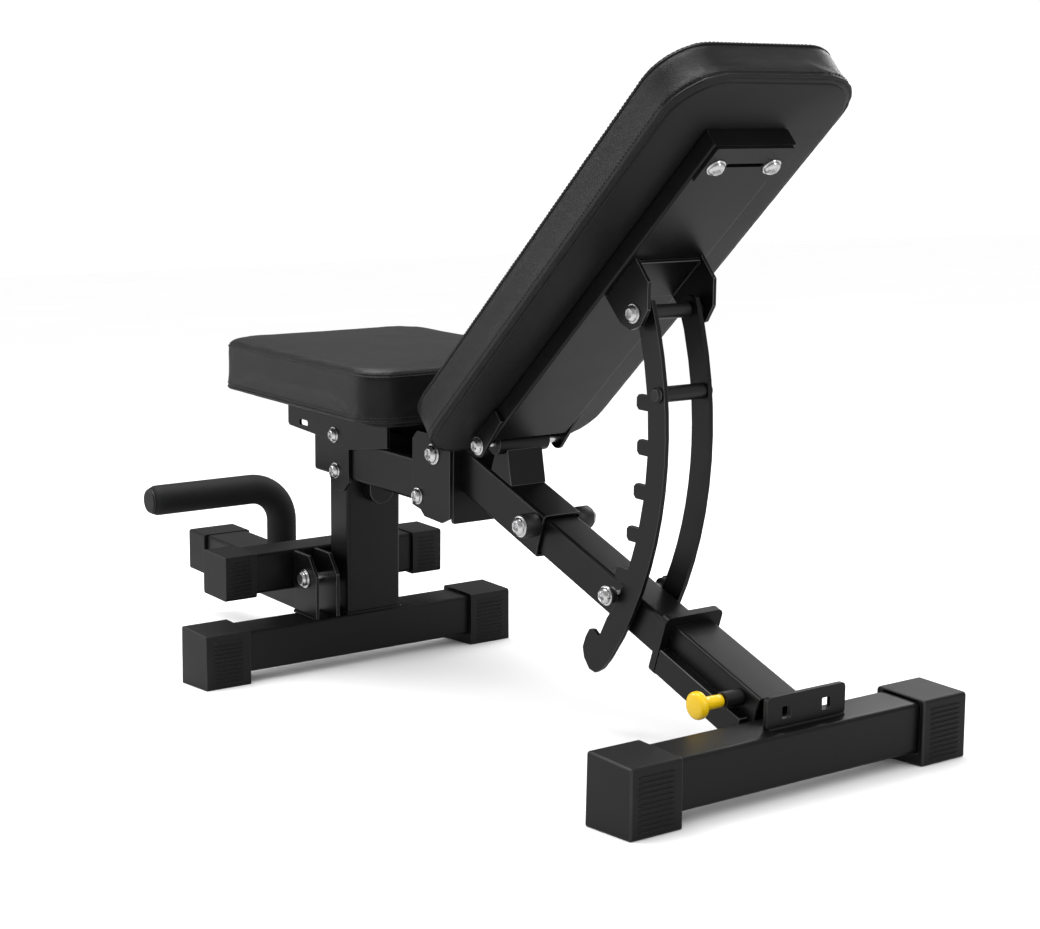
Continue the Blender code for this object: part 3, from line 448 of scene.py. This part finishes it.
def grip_path():
    """Straight up, a quarter turn of 55 mm radius, then straight out to the left."""
    turn = np.linspace(0, math.pi / 2, 16)
    rise = np.column_stack([np.full(8, HANDLE_X), np.zeros(8), np.linspace(119.4, 160, 8)])
    bend = np.column_stack([np.full(16, HANDLE_X), -55 + 55 * np.cos(turn), 163 + 55 * np.sin(turn)])
    run = np.column_stack([np.full(24, HANDLE_X), np.linspace(-62, -223.7, 24), np.full(24, 218.0)])
    return np.concatenate([rise, bend, run])


points, faces = carried(grip_path(), 23.0, False, GRIP_SIDES)
rings = points.reshape(-1, GRIP_SIDES, 3)
middle = rings.mean(1, keepdims=True)
for row, share in ((0, 0.80 / TIP_SHARE), (1, 0.97), (-1, 0.86 / TIP_SHARE), (-2, 0.99)):
    rings[row] = middle[row] + (rings[row] - middle[row]) * share
grip = surface("handle_grip", level(rings), faces)
grip.data.materials.append(foam_rubber)
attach(grip, "front_frame")
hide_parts("handle_foam")
dressed("handle_bar", powder_coat)
ring = np.linspace(0, 2 * math.pi, 40, endpoint=False)
weld("handle_weld", "front_frame", [
    (np.column_stack([HANDLE_X + 13.5 * np.cos(ring), 13.5 * np.sin(ring), np.full(40, 107.6)]), True)])


# ---------------------------------------------------------------- bolts
# Chrome-plated button heads with a hex socket, each on a plain washer. Black nylon spacers stand behind the
# heads at the clevis, the rest pin and the ladder's pivot. A bolt's size is (shank radius, head radius,
# head height), in millimetres.
# The slightly lighter edge colour is a painted highlight on the dressed bolt's rounded edges.
chrome = skinned("bright_chrome", coat_tree, 0.04, 0.0002, {
    "Color": (0.94, 0.94, 0.95, 1), "Cloud Color": (0.84, 0.84, 0.85, 1), "Rim Color": (0.96, 0.96, 0.97, 1),
    "Dust Color": (0.5, 0.5, 0.5, 1), "Roughness": 0.20, "Roughness Spread": 0.12, "Grain Scale": 900.0,
    "Dust": 0.1}, Metallic=1.0)
nylon = skinned("black_nylon", coat_tree, 0.06, 0.0003, {
    "Color": (0.010, 0.010, 0.010, 1), "Cloud Color": (0.014, 0.014, 0.014, 1),
    "Rim Color": (0.02, 0.02, 0.02, 1), "Roughness": 0.38, "Roughness Spread": 0.08, "Grain Scale": 600.0,
    "Dust": 0.05})


ROUND_BELOW = math.radians(40)
TILT_PIVOT, CLEVIS, REST_PIN, LADDER_PIVOT = (-542.0, 385.0), (-462, 292), (-292, 237), (-245, 584)
PLATE_FACE = 50.3
SMALL_BOLT, HUB_BOLT, CLEVIS_BOLT = (5.0, 10.5, 7.0), (6.0, 13.0, 9.0), (6.0, 12.5, 8.0)
REST_BOLT, HINGE_BOLT, LADDER_BOLT = (5.0, 11.0, 8.0), (6.0, 11.0, 7.0), (6.0, 10.5, 7.0)


def swept_round(start, axis, stations, sides=48):
    """Points and faces of stations (distance, radius, hex share) carried round an axis.

    The radius at angle t is r for a round station, and for a hex share of 1 it is r / cos(wrapped t),
    where the wrapped angle runs from -30 to 30 degrees across each flat.
    """
    start, axis = np.asarray(start, float), np.asarray(axis, float)
    axis = axis / np.linalg.norm(axis)
    guide = np.array([0.0, 0.0, 1.0]) if abs(axis[2]) < 0.9 else np.array([1.0, 0.0, 0.0])
    across = np.cross(axis, guide)
    across /= np.linalg.norm(across)
    upright = np.cross(axis, across)
    turn = np.linspace(0, 2 * math.pi, sides, endpoint=False)
    wrapped = (turn + math.pi / 6) % (math.pi / 3) - math.pi / 6
    at, radius, hexed = np.asarray(stations, float).T
    reach = radius[:, None] * (1 + hexed[:, None] * (1 / np.cos(wrapped)[None] - 1))
    spokes = np.cos(turn)[None, :, None] * across + np.sin(turn)[None, :, None] * upright
    points = start + at[:, None, None] * axis + reach[..., None] * spokes
    n = len(at)
    i, j = [a.ravel() for a in np.meshgrid(np.arange(n - 1), np.arange(sides), indexing="ij")]
    k = (j + 1) % sides
    faces = np.stack([i * sides + j, i * sides + k, (i + 1) * sides + k, (i + 1) * sides + j], 1).tolist()
    faces += [list(range(sides))[::-1], [(n - 1) * sides + q for q in range(sides)]]
    return points.reshape(-1, 3), faces


def button_head(start, axis, r, h):
    """Washer, button head and hex socket, out along the axis from start."""
    s = r * 0.46
    washer = [(0, r * 1.12, 0), (1.0, r * 1.12, 0), (1.5, r * 1.08, 0), (1.5, r * 0.94, 0)]
    dome = [(h * 0.42, r * 0.95, 0), (h * 0.58, r * 0.91, 0),
            (h * 0.76, r * 0.80, 0), (h * 0.90, r * 0.66, 0)]
    socket = [(h, s + r * 0.10, 0.6), (h, s + r * 0.04, 1), (h - 0.5, s, 1), (h * 0.45, s, 1),
              (h * 0.40, s * 0.7, 1), (h * 0.36, 0.4, 0)]
    return swept_round(start, axis, washer + dome + socket)


def bolt(node, body, point, half, shank, r, h):
    """A through bolt along Y: a shank between button heads, which sit half a grip from the mid-plane."""
    x, z = point
    parts = [button_head((x, sign * half, z), (0, sign, 0), r, h) for sign in (-1, 1)]
    parts.append(swept_round((x, -half, z), (0, 1, 0), [(0, shank, 0), (2 * half, shank, 0)], 24))
    points, faces = joined(parts)
    piece = surface(node + "_turned", level(points), faces)
    piece.data.set_sharp_from_angle(angle=ROUND_BELOW)
    piece.data.materials.append(chrome)
    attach(piece, body)
    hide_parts(node)


def spacer(name, body, point, r, inner, outer):
    """A black sleeve with eased ends on each side of the mid-plane."""
    x, z = point
    wide = outer - inner
    stations = [(0, r - 1, 0), (0, r - 0.6, 0), (0.8, r, 0),
                (wide - 1.2, r, 0), (wide, r - 0.8, 0), (wide, r - 1, 0)]
    points, faces = joined([swept_round((x, sign * inner, z), (0, sign, 0), stations, 40)
                            for sign in (-1, 1)])
    piece = surface(name, level(points), faces)
    piece.data.set_sharp_from_angle(angle=ROUND_BELOW)
    piece.data.materials.append(nylon)
    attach(piece, body)


bolt("seat_bolt_upper", "front_frame", (-935, 341), PLATE_FACE, *SMALL_BOLT)
bolt("seat_bolt_lower", "front_frame", (-931, 289), PLATE_FACE, *SMALL_BOLT)
bolt("side_plate_bolt", "front_frame", (-709, 289), PLATE_FACE, *SMALL_BOLT)
bolt("hub_bolt", "front_frame", (-671, 353), PLATE_FACE, *HUB_BOLT)
bolt("clevis_pin", "front_frame", CLEVIS, 54.0, *CLEVIS_BOLT)
spacer("clevis_spacer", "front_frame", CLEVIS, 15.5, 30.3, 53.8)
bolt("rest_pin", "front_frame", REST_PIN, 47.0, *REST_BOLT)
spacer("rest_spacer", "front_frame", REST_PIN, 10.5, 37.5, 46.8)
bolt("hinge_bolt", "backrest", TILT_PIVOT, 65.3, *HINGE_BOLT)
bolt("ladder_bolt", "backrest", LADDER_PIVOT, 52.3, *LADDER_BOLT)
spacer("ladder_spacer", "backrest", LADDER_PIVOT, 9.8, 36.9, 46.6)
SPACER_HALF = 30.1
tube = [(0, 6.4, 0), (0, 8.2, 0), (0.6, 8.8, 0),
        (2 * SPACER_HALF - 0.6, 8.8, 0), (2 * SPACER_HALF, 8.2, 0), (2 * SPACER_HALF, 6.4, 0)]
points, faces = swept_round((LADDER_PIVOT[0], -SPACER_HALF, LADDER_PIVOT[1]), (0, 1, 0), tube, 40)
middle_spacer = surface("ladder_middle_spacer", level(points), faces)
middle_spacer.data.set_sharp_from_angle(angle=ROUND_BELOW)
middle_spacer.data.materials.append(nylon)
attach(middle_spacer, "backrest")
dressed("bracket_bolt", chrome, 0.0006)
points, faces = joined([
    button_head((-934.0, 45.4, 133.0), (0, 1, 0), 11.0, 8.0),
    swept_round((-934.0, 40.0, 133.0), (0, 1, 0), [(0, 5.0, 0), (7.0, 5.0, 0)], 24)])
far_bolt = surface("roller_far_bolt", level(points), faces)
far_bolt.data.set_sharp_from_angle(angle=ROUND_BELOW)
far_bolt.data.materials.append(chrome)
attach(far_bolt, "front_frame")


# ---------------------------------------------------------------- pads
# Foam on a board, in a stretched leatherette cover: one panel for the top, boxed with a side strip. The
# strip is stitched to the top along the shoulder, and a piped welt closes it at the back edge.
# A pad's size is (left, right, half width, corner radius), in millimetres in its own plane.
hide_tree, hide_in, hide_out = grouped(
    "leatherette_skin",
    [("Color", "Color", (0.01, 0.01, 0.01, 1)), ("Crease Color", "Color", (0.005, 0.005, 0.005, 1)),
     ("Roughness", "Float", 0.4), ("Roughness Spread", "Float", 0.12), ("Pebble Scale", "Float", 620.0),
     ("Crease", "Float", 0.5)],
    [("Color", "Color"), ("Roughness", "Float"), ("Height", "Float")])
where = add(hide_tree, "ShaderNodeTexCoord")
pebble = add(hide_tree, "ShaderNodeTexVoronoi", feature="DISTANCE_TO_EDGE")
soft = add(hide_tree, "ShaderNodeTexNoise", scale=16.0, detail=4.0, roughness=0.6)
crinkle = add(hide_tree, "ShaderNodeTexNoise", scale=70.0, detail=3.0, distortion=1.2)
edge = add(hide_tree, "ShaderNodeMapRange")
edge.inputs["From Max"].default_value = 0.22
tone = add(hide_tree, "ShaderNodeMix", data_type="RGBA")
spread = add(hide_tree, "ShaderNodeMath", operation="MULTIPLY_ADD")
folds = add(hide_tree, "ShaderNodeMath", operation="MULTIPLY")
both = add(hide_tree, "ShaderNodeMath", operation="ADD")
link(hide_tree,
     (where.outputs["Object"], pebble.inputs["Vector"]), (where.outputs["Object"], soft.inputs["Vector"]),
     (where.outputs["Object"], crinkle.inputs["Vector"]),
     (hide_in.outputs["Pebble Scale"], pebble.inputs["Scale"]),
     (pebble.outputs["Distance"], edge.inputs["Value"]), (edge.outputs["Result"], tone.inputs["Factor"]),
     (hide_in.outputs["Crease Color"], tone.inputs["A"]), (hide_in.outputs["Color"], tone.inputs["B"]),
     (tone.outputs["Result"], hide_out.inputs["Color"]), (soft.outputs["Fac"], spread.inputs[0]),
     (hide_in.outputs["Roughness Spread"], spread.inputs[1]),
     (hide_in.outputs["Roughness"], spread.inputs[2]),
     (spread.outputs["Value"], hide_out.inputs["Roughness"]), (crinkle.outputs["Fac"], folds.inputs[0]),
     (hide_in.outputs["Crease"], folds.inputs[1]), (folds.outputs["Value"], both.inputs[0]),
     (edge.outputs["Result"], both.inputs[1]), (both.outputs["Value"], hide_out.inputs["Height"]))
leatherette = skinned("black_leatherette_cover", hide_tree, 0.30, 0.0006, {
    "Color": (0.0050, 0.0050, 0.0053, 1), "Crease Color": (0.0022, 0.0022, 0.0022, 1), "Roughness": 0.30,
    "Roughness Spread": 0.16, "Pebble Scale": 620.0, "Crease": 0.9}, Specular_IOR_Level=0.42)
thread = skinned("black_thread", hide_tree, 0.5, 0.0004, {
    "Color": (0.022, 0.022, 0.023, 1), "Crease Color": (0.012, 0.012, 0.012, 1), "Roughness": 0.5,
    "Roughness Spread": 0.2, "Pebble Scale": 1400.0, "Crease": 0.2})

LEAN = math.radians(42.7)
SEAT_SIZE = (-1069.0, -636.0, 171.0, 48.0)
BACK_SIZE = (-40.0, 672.0, 134.5, 62.0)
RING = 240
SEAM_POINTS = 420
CLOTH_FRAMES = 20


def on_seat(points):
    """Level-frame points of (along, across, height) on the seat."""
    return np.asarray(points, float)


def on_back(points):
    """Level-frame points of (up the back, across, out to the front), from the tilt pivot."""
    p = np.asarray(points, float)
    c, s = math.cos(LEAN), math.sin(LEAN)
    x = TILT_PIVOT[0] + c * p[..., 0] - s * p[..., 2]
    z = TILT_PIVOT[1] + s * p[..., 0] + c * p[..., 2]
    return np.stack([x, p[..., 1], z], -1)


def outline(left, right, half, corner, inset, count=RING):
    """Evenly spaced points round a rectangle with round corners, drawn in by inset."""
    corner = max(corner - inset * 0.5, 4)
    turn = np.linspace(0, math.pi / 2, 13)
    path = []
    for quarter, (x, y) in enumerate(((right, half), (left, half), (left, -half), (right, -half))):
        cx = x - math.copysign(corner + inset, x - (left + right) / 2)
        cy = y - math.copysign(corner + inset, y)
        angle = turn + quarter * math.pi / 2
        path.append(np.column_stack([cx + corner * np.cos(angle), cy + corner * np.sin(angle)]))
    path = np.concatenate(path)
    path = np.concatenate([path, path[:1]])
    run = np.concatenate([[0], np.cumsum(np.linalg.norm(np.diff(path, axis=0), axis=1))])
    at = np.linspace(0, run[-1], count, endpoint=False)
    return np.column_stack([np.interp(at, run, path[:, 0]), np.interp(at, run, path[:, 1])])


def ring_at(flat, depth):
    """A ring of flat points, all at one depth."""
    return np.column_stack([flat, np.full(len(flat), depth)])


def ring_faces(n):
    """The four corners of each face between n rings of RING points: two on a ring, two on the next one."""
    i, j = [a.ravel() for a in np.meshgrid(np.arange(n - 1), np.arange(RING), indexing="ij")]
    k = (j + 1) % RING
    return i * RING + j, i * RING + k, (i + 1) * RING + k, (i + 1) * RING + j


def pad_shape(size, back, front, crown):
    """Rings from the back's middle out, up the side, over the shoulder and in to the crowned middle.

    Each ring is the outline drawn in by its inset at its depth. Past the shoulder the ring shrinks towards
    the middle by k, and its depth is front + crown * (1 - k ** 2.4).
    """
    left, right, half, corner = size
    side = [(5.0, back), (1.6, back + 1.2), (0.1, back + 4.5), (0.0, back + 12), (0.5, (back + front) / 2),
            (0.2, front - 16), (1.2, front - 8), (4.0, front - 3.2), (9.0, front - 0.8), (16.0, front)]
    middle = np.array([(left + right) / 2, 0.0])
    edge_ring = outline(left, right, half, corner, 16.0)
    back_ring = outline(left, right, half, corner, 5.0)
    rings = [ring_at(middle + (back_ring - middle) * k, back) for k in (0.02, 0.3, 0.6, 0.85, 0.96)]
    rings += [ring_at(outline(left, right, half, corner, inset), depth) for inset, depth in side]
    rings += [ring_at(middle + (edge_ring - middle) * k, front + crown * (1 - k ** 2.4))
              for k in (0.95, 0.88, 0.75, 0.6, 0.42, 0.22, 0.02)]
    n = len(rings)
    faces = np.stack(ring_faces(n), 1).tolist()
    faces += [list(range(RING))[::-1], [(n - 1) * RING + q for q in range(RING)]]
    return np.concatenate(rings), faces


def coords(mesh):
    """The mesh's points as rows."""
    found = np.empty(len(mesh.vertices) * 3)
    mesh.vertices.foreach_get("co", found)
    return found.reshape(-1, 3)


def stuffed(obj, still, most):
    """The pad as a 6 mm voxel mesh, blown up by Cloth under inner pressure with gravity off.

    still(points) is 1 where the cover is stapled down and 0 where it is free. A point moves by most at most.
    """
    even = obj.modifiers.new("even", "REMESH")
    even.mode, even.voxel_size = "VOXEL", 0.006
    graph = bpy.context.evaluated_depsgraph_get()
    mesh = bpy.data.meshes.new_from_object(obj.evaluated_get(graph))
    obj.modifiers.clear()
    obj.data = mesh
    rest = coords(mesh)
    held = still(rest)
    stapled = obj.vertex_groups.new(name="stapled")
    stapled.add(np.flatnonzero(held > 0.5).tolist(), 1.0, "REPLACE")
    cloth = obj.modifiers.new("stuffing", "CLOTH")
    cloth.settings.use_pressure = True
    cloth.settings.uniform_pressure_force = 4.0
    cloth.settings.vertex_group_mass = "stapled"
    cloth.settings.effector_weights.gravity = 0.0
    cloth.settings.quality = 6
    cloth.point_cache.frame_start, cloth.point_cache.frame_end = 1, CLOTH_FRAMES
    for step in range(1, CLOTH_FRAMES + 1):
        scene.frame_set(step)
    graph = bpy.context.evaluated_depsgraph_get()
    blown = coords(obj.evaluated_get(graph).data)
    obj.modifiers.clear()
    scene.frame_set(1)
    move = blown - rest
    far = np.linalg.norm(move, axis=1)[:, None]
    rest = rest + move * np.minimum(1.0, most / np.maximum(far, 1e-9))
    mesh.vertices.foreach_set("co", rest.ravel())
    mesh.update()
    obj.vertex_groups.clear()
    mesh.polygons.foreach_set("use_smooth", np.ones(len(mesh.polygons), bool))
    fine = obj.modifiers.new("smooth_cover", "SUBSURF")
    fine.levels = fine.render_levels = 1


def round_the_pad(cover, place, size, depth, inset, proud):
    """A closed path on the cover at that depth: the outline's points, dropped inwards on to it."""
    flat = outline(*size, inset, SEAM_POINTS)
    ahead_of = np.roll(flat, -1, 0) - np.roll(flat, 1, 0)
    outward = np.column_stack([ahead_of[:, 1], -ahead_of[:, 0]])
    outward /= np.linalg.norm(outward, axis=1)[:, None]
    start = level(place(ring_at(flat + outward * 30, depth)))
    inside = level(place(ring_at(flat - outward * 30, depth)))
    found = []
    for a, b in zip(start, inside):
        hit = cover.ray_cast(Vector(a), Vector(b - a).normalized())[0]
        found.append(hit if hit is not None else (a + b) / 2)
    found = np.asarray(found, float)
    away = start - inside
    away /= np.linalg.norm(away, axis=1)[:, None]
    return found + away * proud


def piped(path, radius, sides=8):
    """A cord of this radius carried round a closed path, in metres."""
    return carried(path, radius, True, sides)


def stitches(path, pitch, length, radius):
    """Short threads, each five rings long, laid along a closed path at an even pitch."""
    closed = np.concatenate([path, path[:1]])
    run = np.concatenate([[0], np.cumsum(np.linalg.norm(np.diff(closed, axis=0), axis=1))])
    starts = np.arange(0, run[-1] - pitch, pitch)
    bow = np.linspace(0, 1, 5)
    parts = []
    for begin in starts:
        at = begin + bow * length
        line = np.stack([np.interp(at, run, closed[:, k]) for k in range(3)], 1)
        parts.append(carried(line, radius, False, 5))
    return joined(parts)


def upholstered(name, node, body, place, size, back, front, crown, most, top_edge):
    """One pad: the stuffed cover, its shoulder seam with stitches, and the welt at the back edge."""
    points, faces = pad_shape(size, back, front, crown)
    cover = surface(name, level(place(points)), faces)
    normal = level(place([(0, 0, 1.0)])) - level(place([(0, 0, 0.0)]))
    normal = normal[0] / np.linalg.norm(normal[0])
    foot = float(level(place([(0, 0, back)]))[0] @ normal)
    stuffed(cover, lambda p: ((p @ normal - foot) < 0.012).astype(float), most)
    cover.data.materials.clear()
    cover.data.materials.append(leatherette)
    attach(cover, body)
    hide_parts(node)
    graph = bpy.context.evaluated_depsgraph_get()
    skin = BVHTree.FromObject(cover, graph)
    seam_path = round_the_pad(skin, place, size, front - top_edge, 0.0, 0.0003)
    seam = surface(name + "_shoulder_seam", *piped(seam_path, 0.0013))
    seam.data.materials.append(leatherette)
    thread_path = round_the_pad(skin, place, size, front - top_edge + 3.6, 0.0, 0.0003)
    sewn = surface(name + "_stitches", *stitches(thread_path, 0.0056, 0.0038, 0.0007))
    sewn.data.materials.append(thread)
    welt_path = round_the_pad(skin, place, size, back + 4.0, 0.0, 0.0)
    welt = surface(name + "_welt", *piped(welt_path, 0.0021, 10))
    welt.data.materials.append(leatherette)
    fold_path = round_the_pad(skin, place, size, back + 9.5, 0.0, 0.0002)
    fold = surface(name + "_welt_stitches", *stitches(fold_path, 0.0056, 0.0038, 0.0007))
    fold.data.materials.append(thread)
    for trim in (seam, sewn, welt, fold):
        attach(trim, body)


upholstered("seat_cushion", "seat_pad", "front_frame", on_seat, SEAT_SIZE, back=404.0, front=478.0,
            crown=4.0, most=0.0012, top_edge=11.0)
upholstered("backrest_cushion", "backrest_pad", "backrest", on_back, BACK_SIZE, back=17.0, front=77.5,
            crown=3.0, most=0.0012, top_edge=10.0)


# ---------------------------------------------------------------- boards
# Plywood behind each pad, wrapped in dark grey vinyl with a fine pebble grain. Each one shows as a flat panel
# with an eased edge, set inside the cover's turned edge, so it is smaller than the board in the frame.
vinyl = skinned("dark_grey_vinyl", hide_tree, 0.12, 0.0003, {
    "Color": (0.0085, 0.0085, 0.0088, 1), "Crease Color": (0.0060, 0.0060, 0.0060, 1), "Roughness": 0.44,
    "Roughness Spread": 0.10, "Pebble Scale": 1500.0, "Crease": 0.1}, Specular_IOR_Level=0.38)


def back_panel(name, node, body, place, size, inset, inner, outer):
    """A flat panel from depth inner to depth outer, drawn in by inset, with an eased outer edge of 1.5 mm."""
    step = math.copysign(1.0, outer - inner)
    stations = [(inset, inner), (inset, outer - 1.5 * step), (inset + 0.5, outer - 0.5 * step),
                (inset + 1.6, outer)]
    rings = [ring_at(outline(*size, ease), depth) for ease, depth in stations]
    near, near_next, far_next, far = ring_faces(len(rings))
    faces = np.stack([near, far, far_next, near_next], 1).tolist()
    faces += [list(range(RING)), [(len(rings) - 1) * RING + q for q in range(RING)][::-1]]
    panel = surface(name, level(place(np.concatenate(rings))), faces)
    panel.data.set_sharp_from_angle(angle=math.radians(25))
    panel.data.materials.append(vinyl)
    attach(panel, body)
    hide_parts(node)


back_panel("seat_underside", "seat_board", "front_frame", on_seat, SEAT_SIZE,
           inset=30.0, inner=406.0, outer=395.7)
back_panel("backrest_rear_panel", "backrest_board", "backrest", on_back, BACK_SIZE,
           inset=8.0, inner=22.0, outer=15.6)


# ---------------------------------------------------------------- backrest frame
# A flat box section bolted along the back board, with a slotted plate at its head, lugs at its foot and the
# two ears of the ladder bracket. All of it is powder coated.
for node in ("backrest_frame", "head_plate", "hinge_lug_left", "hinge_lug_right", "ladder_ear_left",
             "ladder_ear_right", "ladder_base"):
    dressed(node, powder_coat)
rearward = on_back([(0, 0, -1)])[0] - on_back([(0, 0, 0)])[0]
for side, sign in (("left", -1), ("right", 1)):
    seat_point = on_back([(562, sign * 41, -9.2)])[0]
    points, faces = joined([
        button_head(seat_point + rearward * 4.0, rearward, 10.5, 7.0),
        swept_round(seat_point, rearward, [(0, 5.0, 0), (5.0, 5.0, 0)], 24)])
    piece = surface(f"head_bolt_{side}_turned", level(points), faces)
    piece.data.set_sharp_from_angle(angle=ROUND_BELOW)
    piece.data.materials.append(chrome)
    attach(piece, "backrest")
    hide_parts(f"head_bolt_{side}")
weld("ladder_base_weld", "backrest", [
    ([on_back([(328, y, -14.6)])[0], on_back([(392, y, -14.6)])[0]], False) for y in (-46.8, 46.8)])


# ---------------------------------------------------------------- ladder
# Two curved arms of flat bar hang from the ladder bolt, held apart by a blackened cross bar. The left arm
# carries the teeth and the hook, and the right arm is plain.
for node in ("ladder_arm_left", "ladder_arm_right"):
    dressed(node, powder_coat)
# The lighter edge colour is a painted highlight on the rounded edges of the cross bar and pin barrel.
blackened = skinned("blackened_steel", coat_tree, 0.06, 0.0003, {
    "Color": (0.012, 0.012, 0.0125, 1), "Cloud Color": (0.02, 0.02, 0.0205, 1),
    "Rim Color": (0.08, 0.08, 0.082, 1), "Roughness": 0.28, "Roughness Spread": 0.14, "Grain Scale": 800.0,
    "Dust": 0.05}, Metallic=0.3)
dressed("ladder_cross_bar", blackened, 0.0007)


# ---------------------------------------------------------------- rear leg
# A sleeve with a collar and two side rails that slides on the prop tube, welded to the rear stabiliser
# through an upright plate with two square holes.
for node in ("leg_sleeve", "leg_collar", "leg_rail_left", "leg_rail_right", "rear_bracket",
             "rear_stabiliser"):
    dressed(node, powder_coat)
dressed("pin_barrel", blackened, 0.0008)
SADDLE = 150.5
weld("rear_bracket_weld", "rear_leg", [
    ([(11.6, -57, SADDLE), (11.6, 57, SADDLE)], False), ([(4.0, -57, SADDLE), (4.0, 57, SADDLE)], False)])


# ---------------------------------------------------------------- pull pin
# A glossy yellow moulded knob on the plunger that locks the leg. It pulls straight out to the left, and its
# flared end is domed. Its stations are (distance, radius, hex share) from the bench's mid-plane.
yellow = skinned("yellow_moulding", coat_tree, 0.05, 0.0003, {
    "Color": (0.90, 0.56, 0.004, 1), "Cloud Color": (0.95, 0.63, 0.006, 1),
    "Rim Color": (0.95, 0.62, 0.03, 1), "Dust Color": (0.6, 0.4, 0.1, 1), "Roughness": 0.22,
    "Roughness Spread": 0.08, "Grain Scale": 400.0, "Dust": 0.1}, Coat_Weight=0.3, Coat_Roughness=0.1)
stem = [(57.6, 0.4, 0), (57.8, 6.8, 0), (58.6, 7.6, 0), (66.0, 7.7, 0), (76.0, 7.9, 0), (81.5, 8.4, 0)]
flare = [(84.0, 9.6, 0), (85.8, 12.0, 0), (87.0, 14.4, 0), (88.4, 15.7, 0), (90.0, 16.1, 0)]
dome = [(93.2, 16.1, 0), (95.2, 15.5, 0), (96.6, 14.2, 0), (97.3, 12.0, 0), (97.8, 8.0, 0), (98.0, 0.4, 0)]
points, faces = swept_round((-67.0, 0.0, 165.0), (0, -1, 0), stem + flare + dome, 64)
knob = surface("pull_knob", level(points), faces)
knob.data.materials.append(yellow)
knob.data.set_sharp_from_angle(angle=math.radians(50))
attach(knob, "pop_pin")
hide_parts("pop_knob")
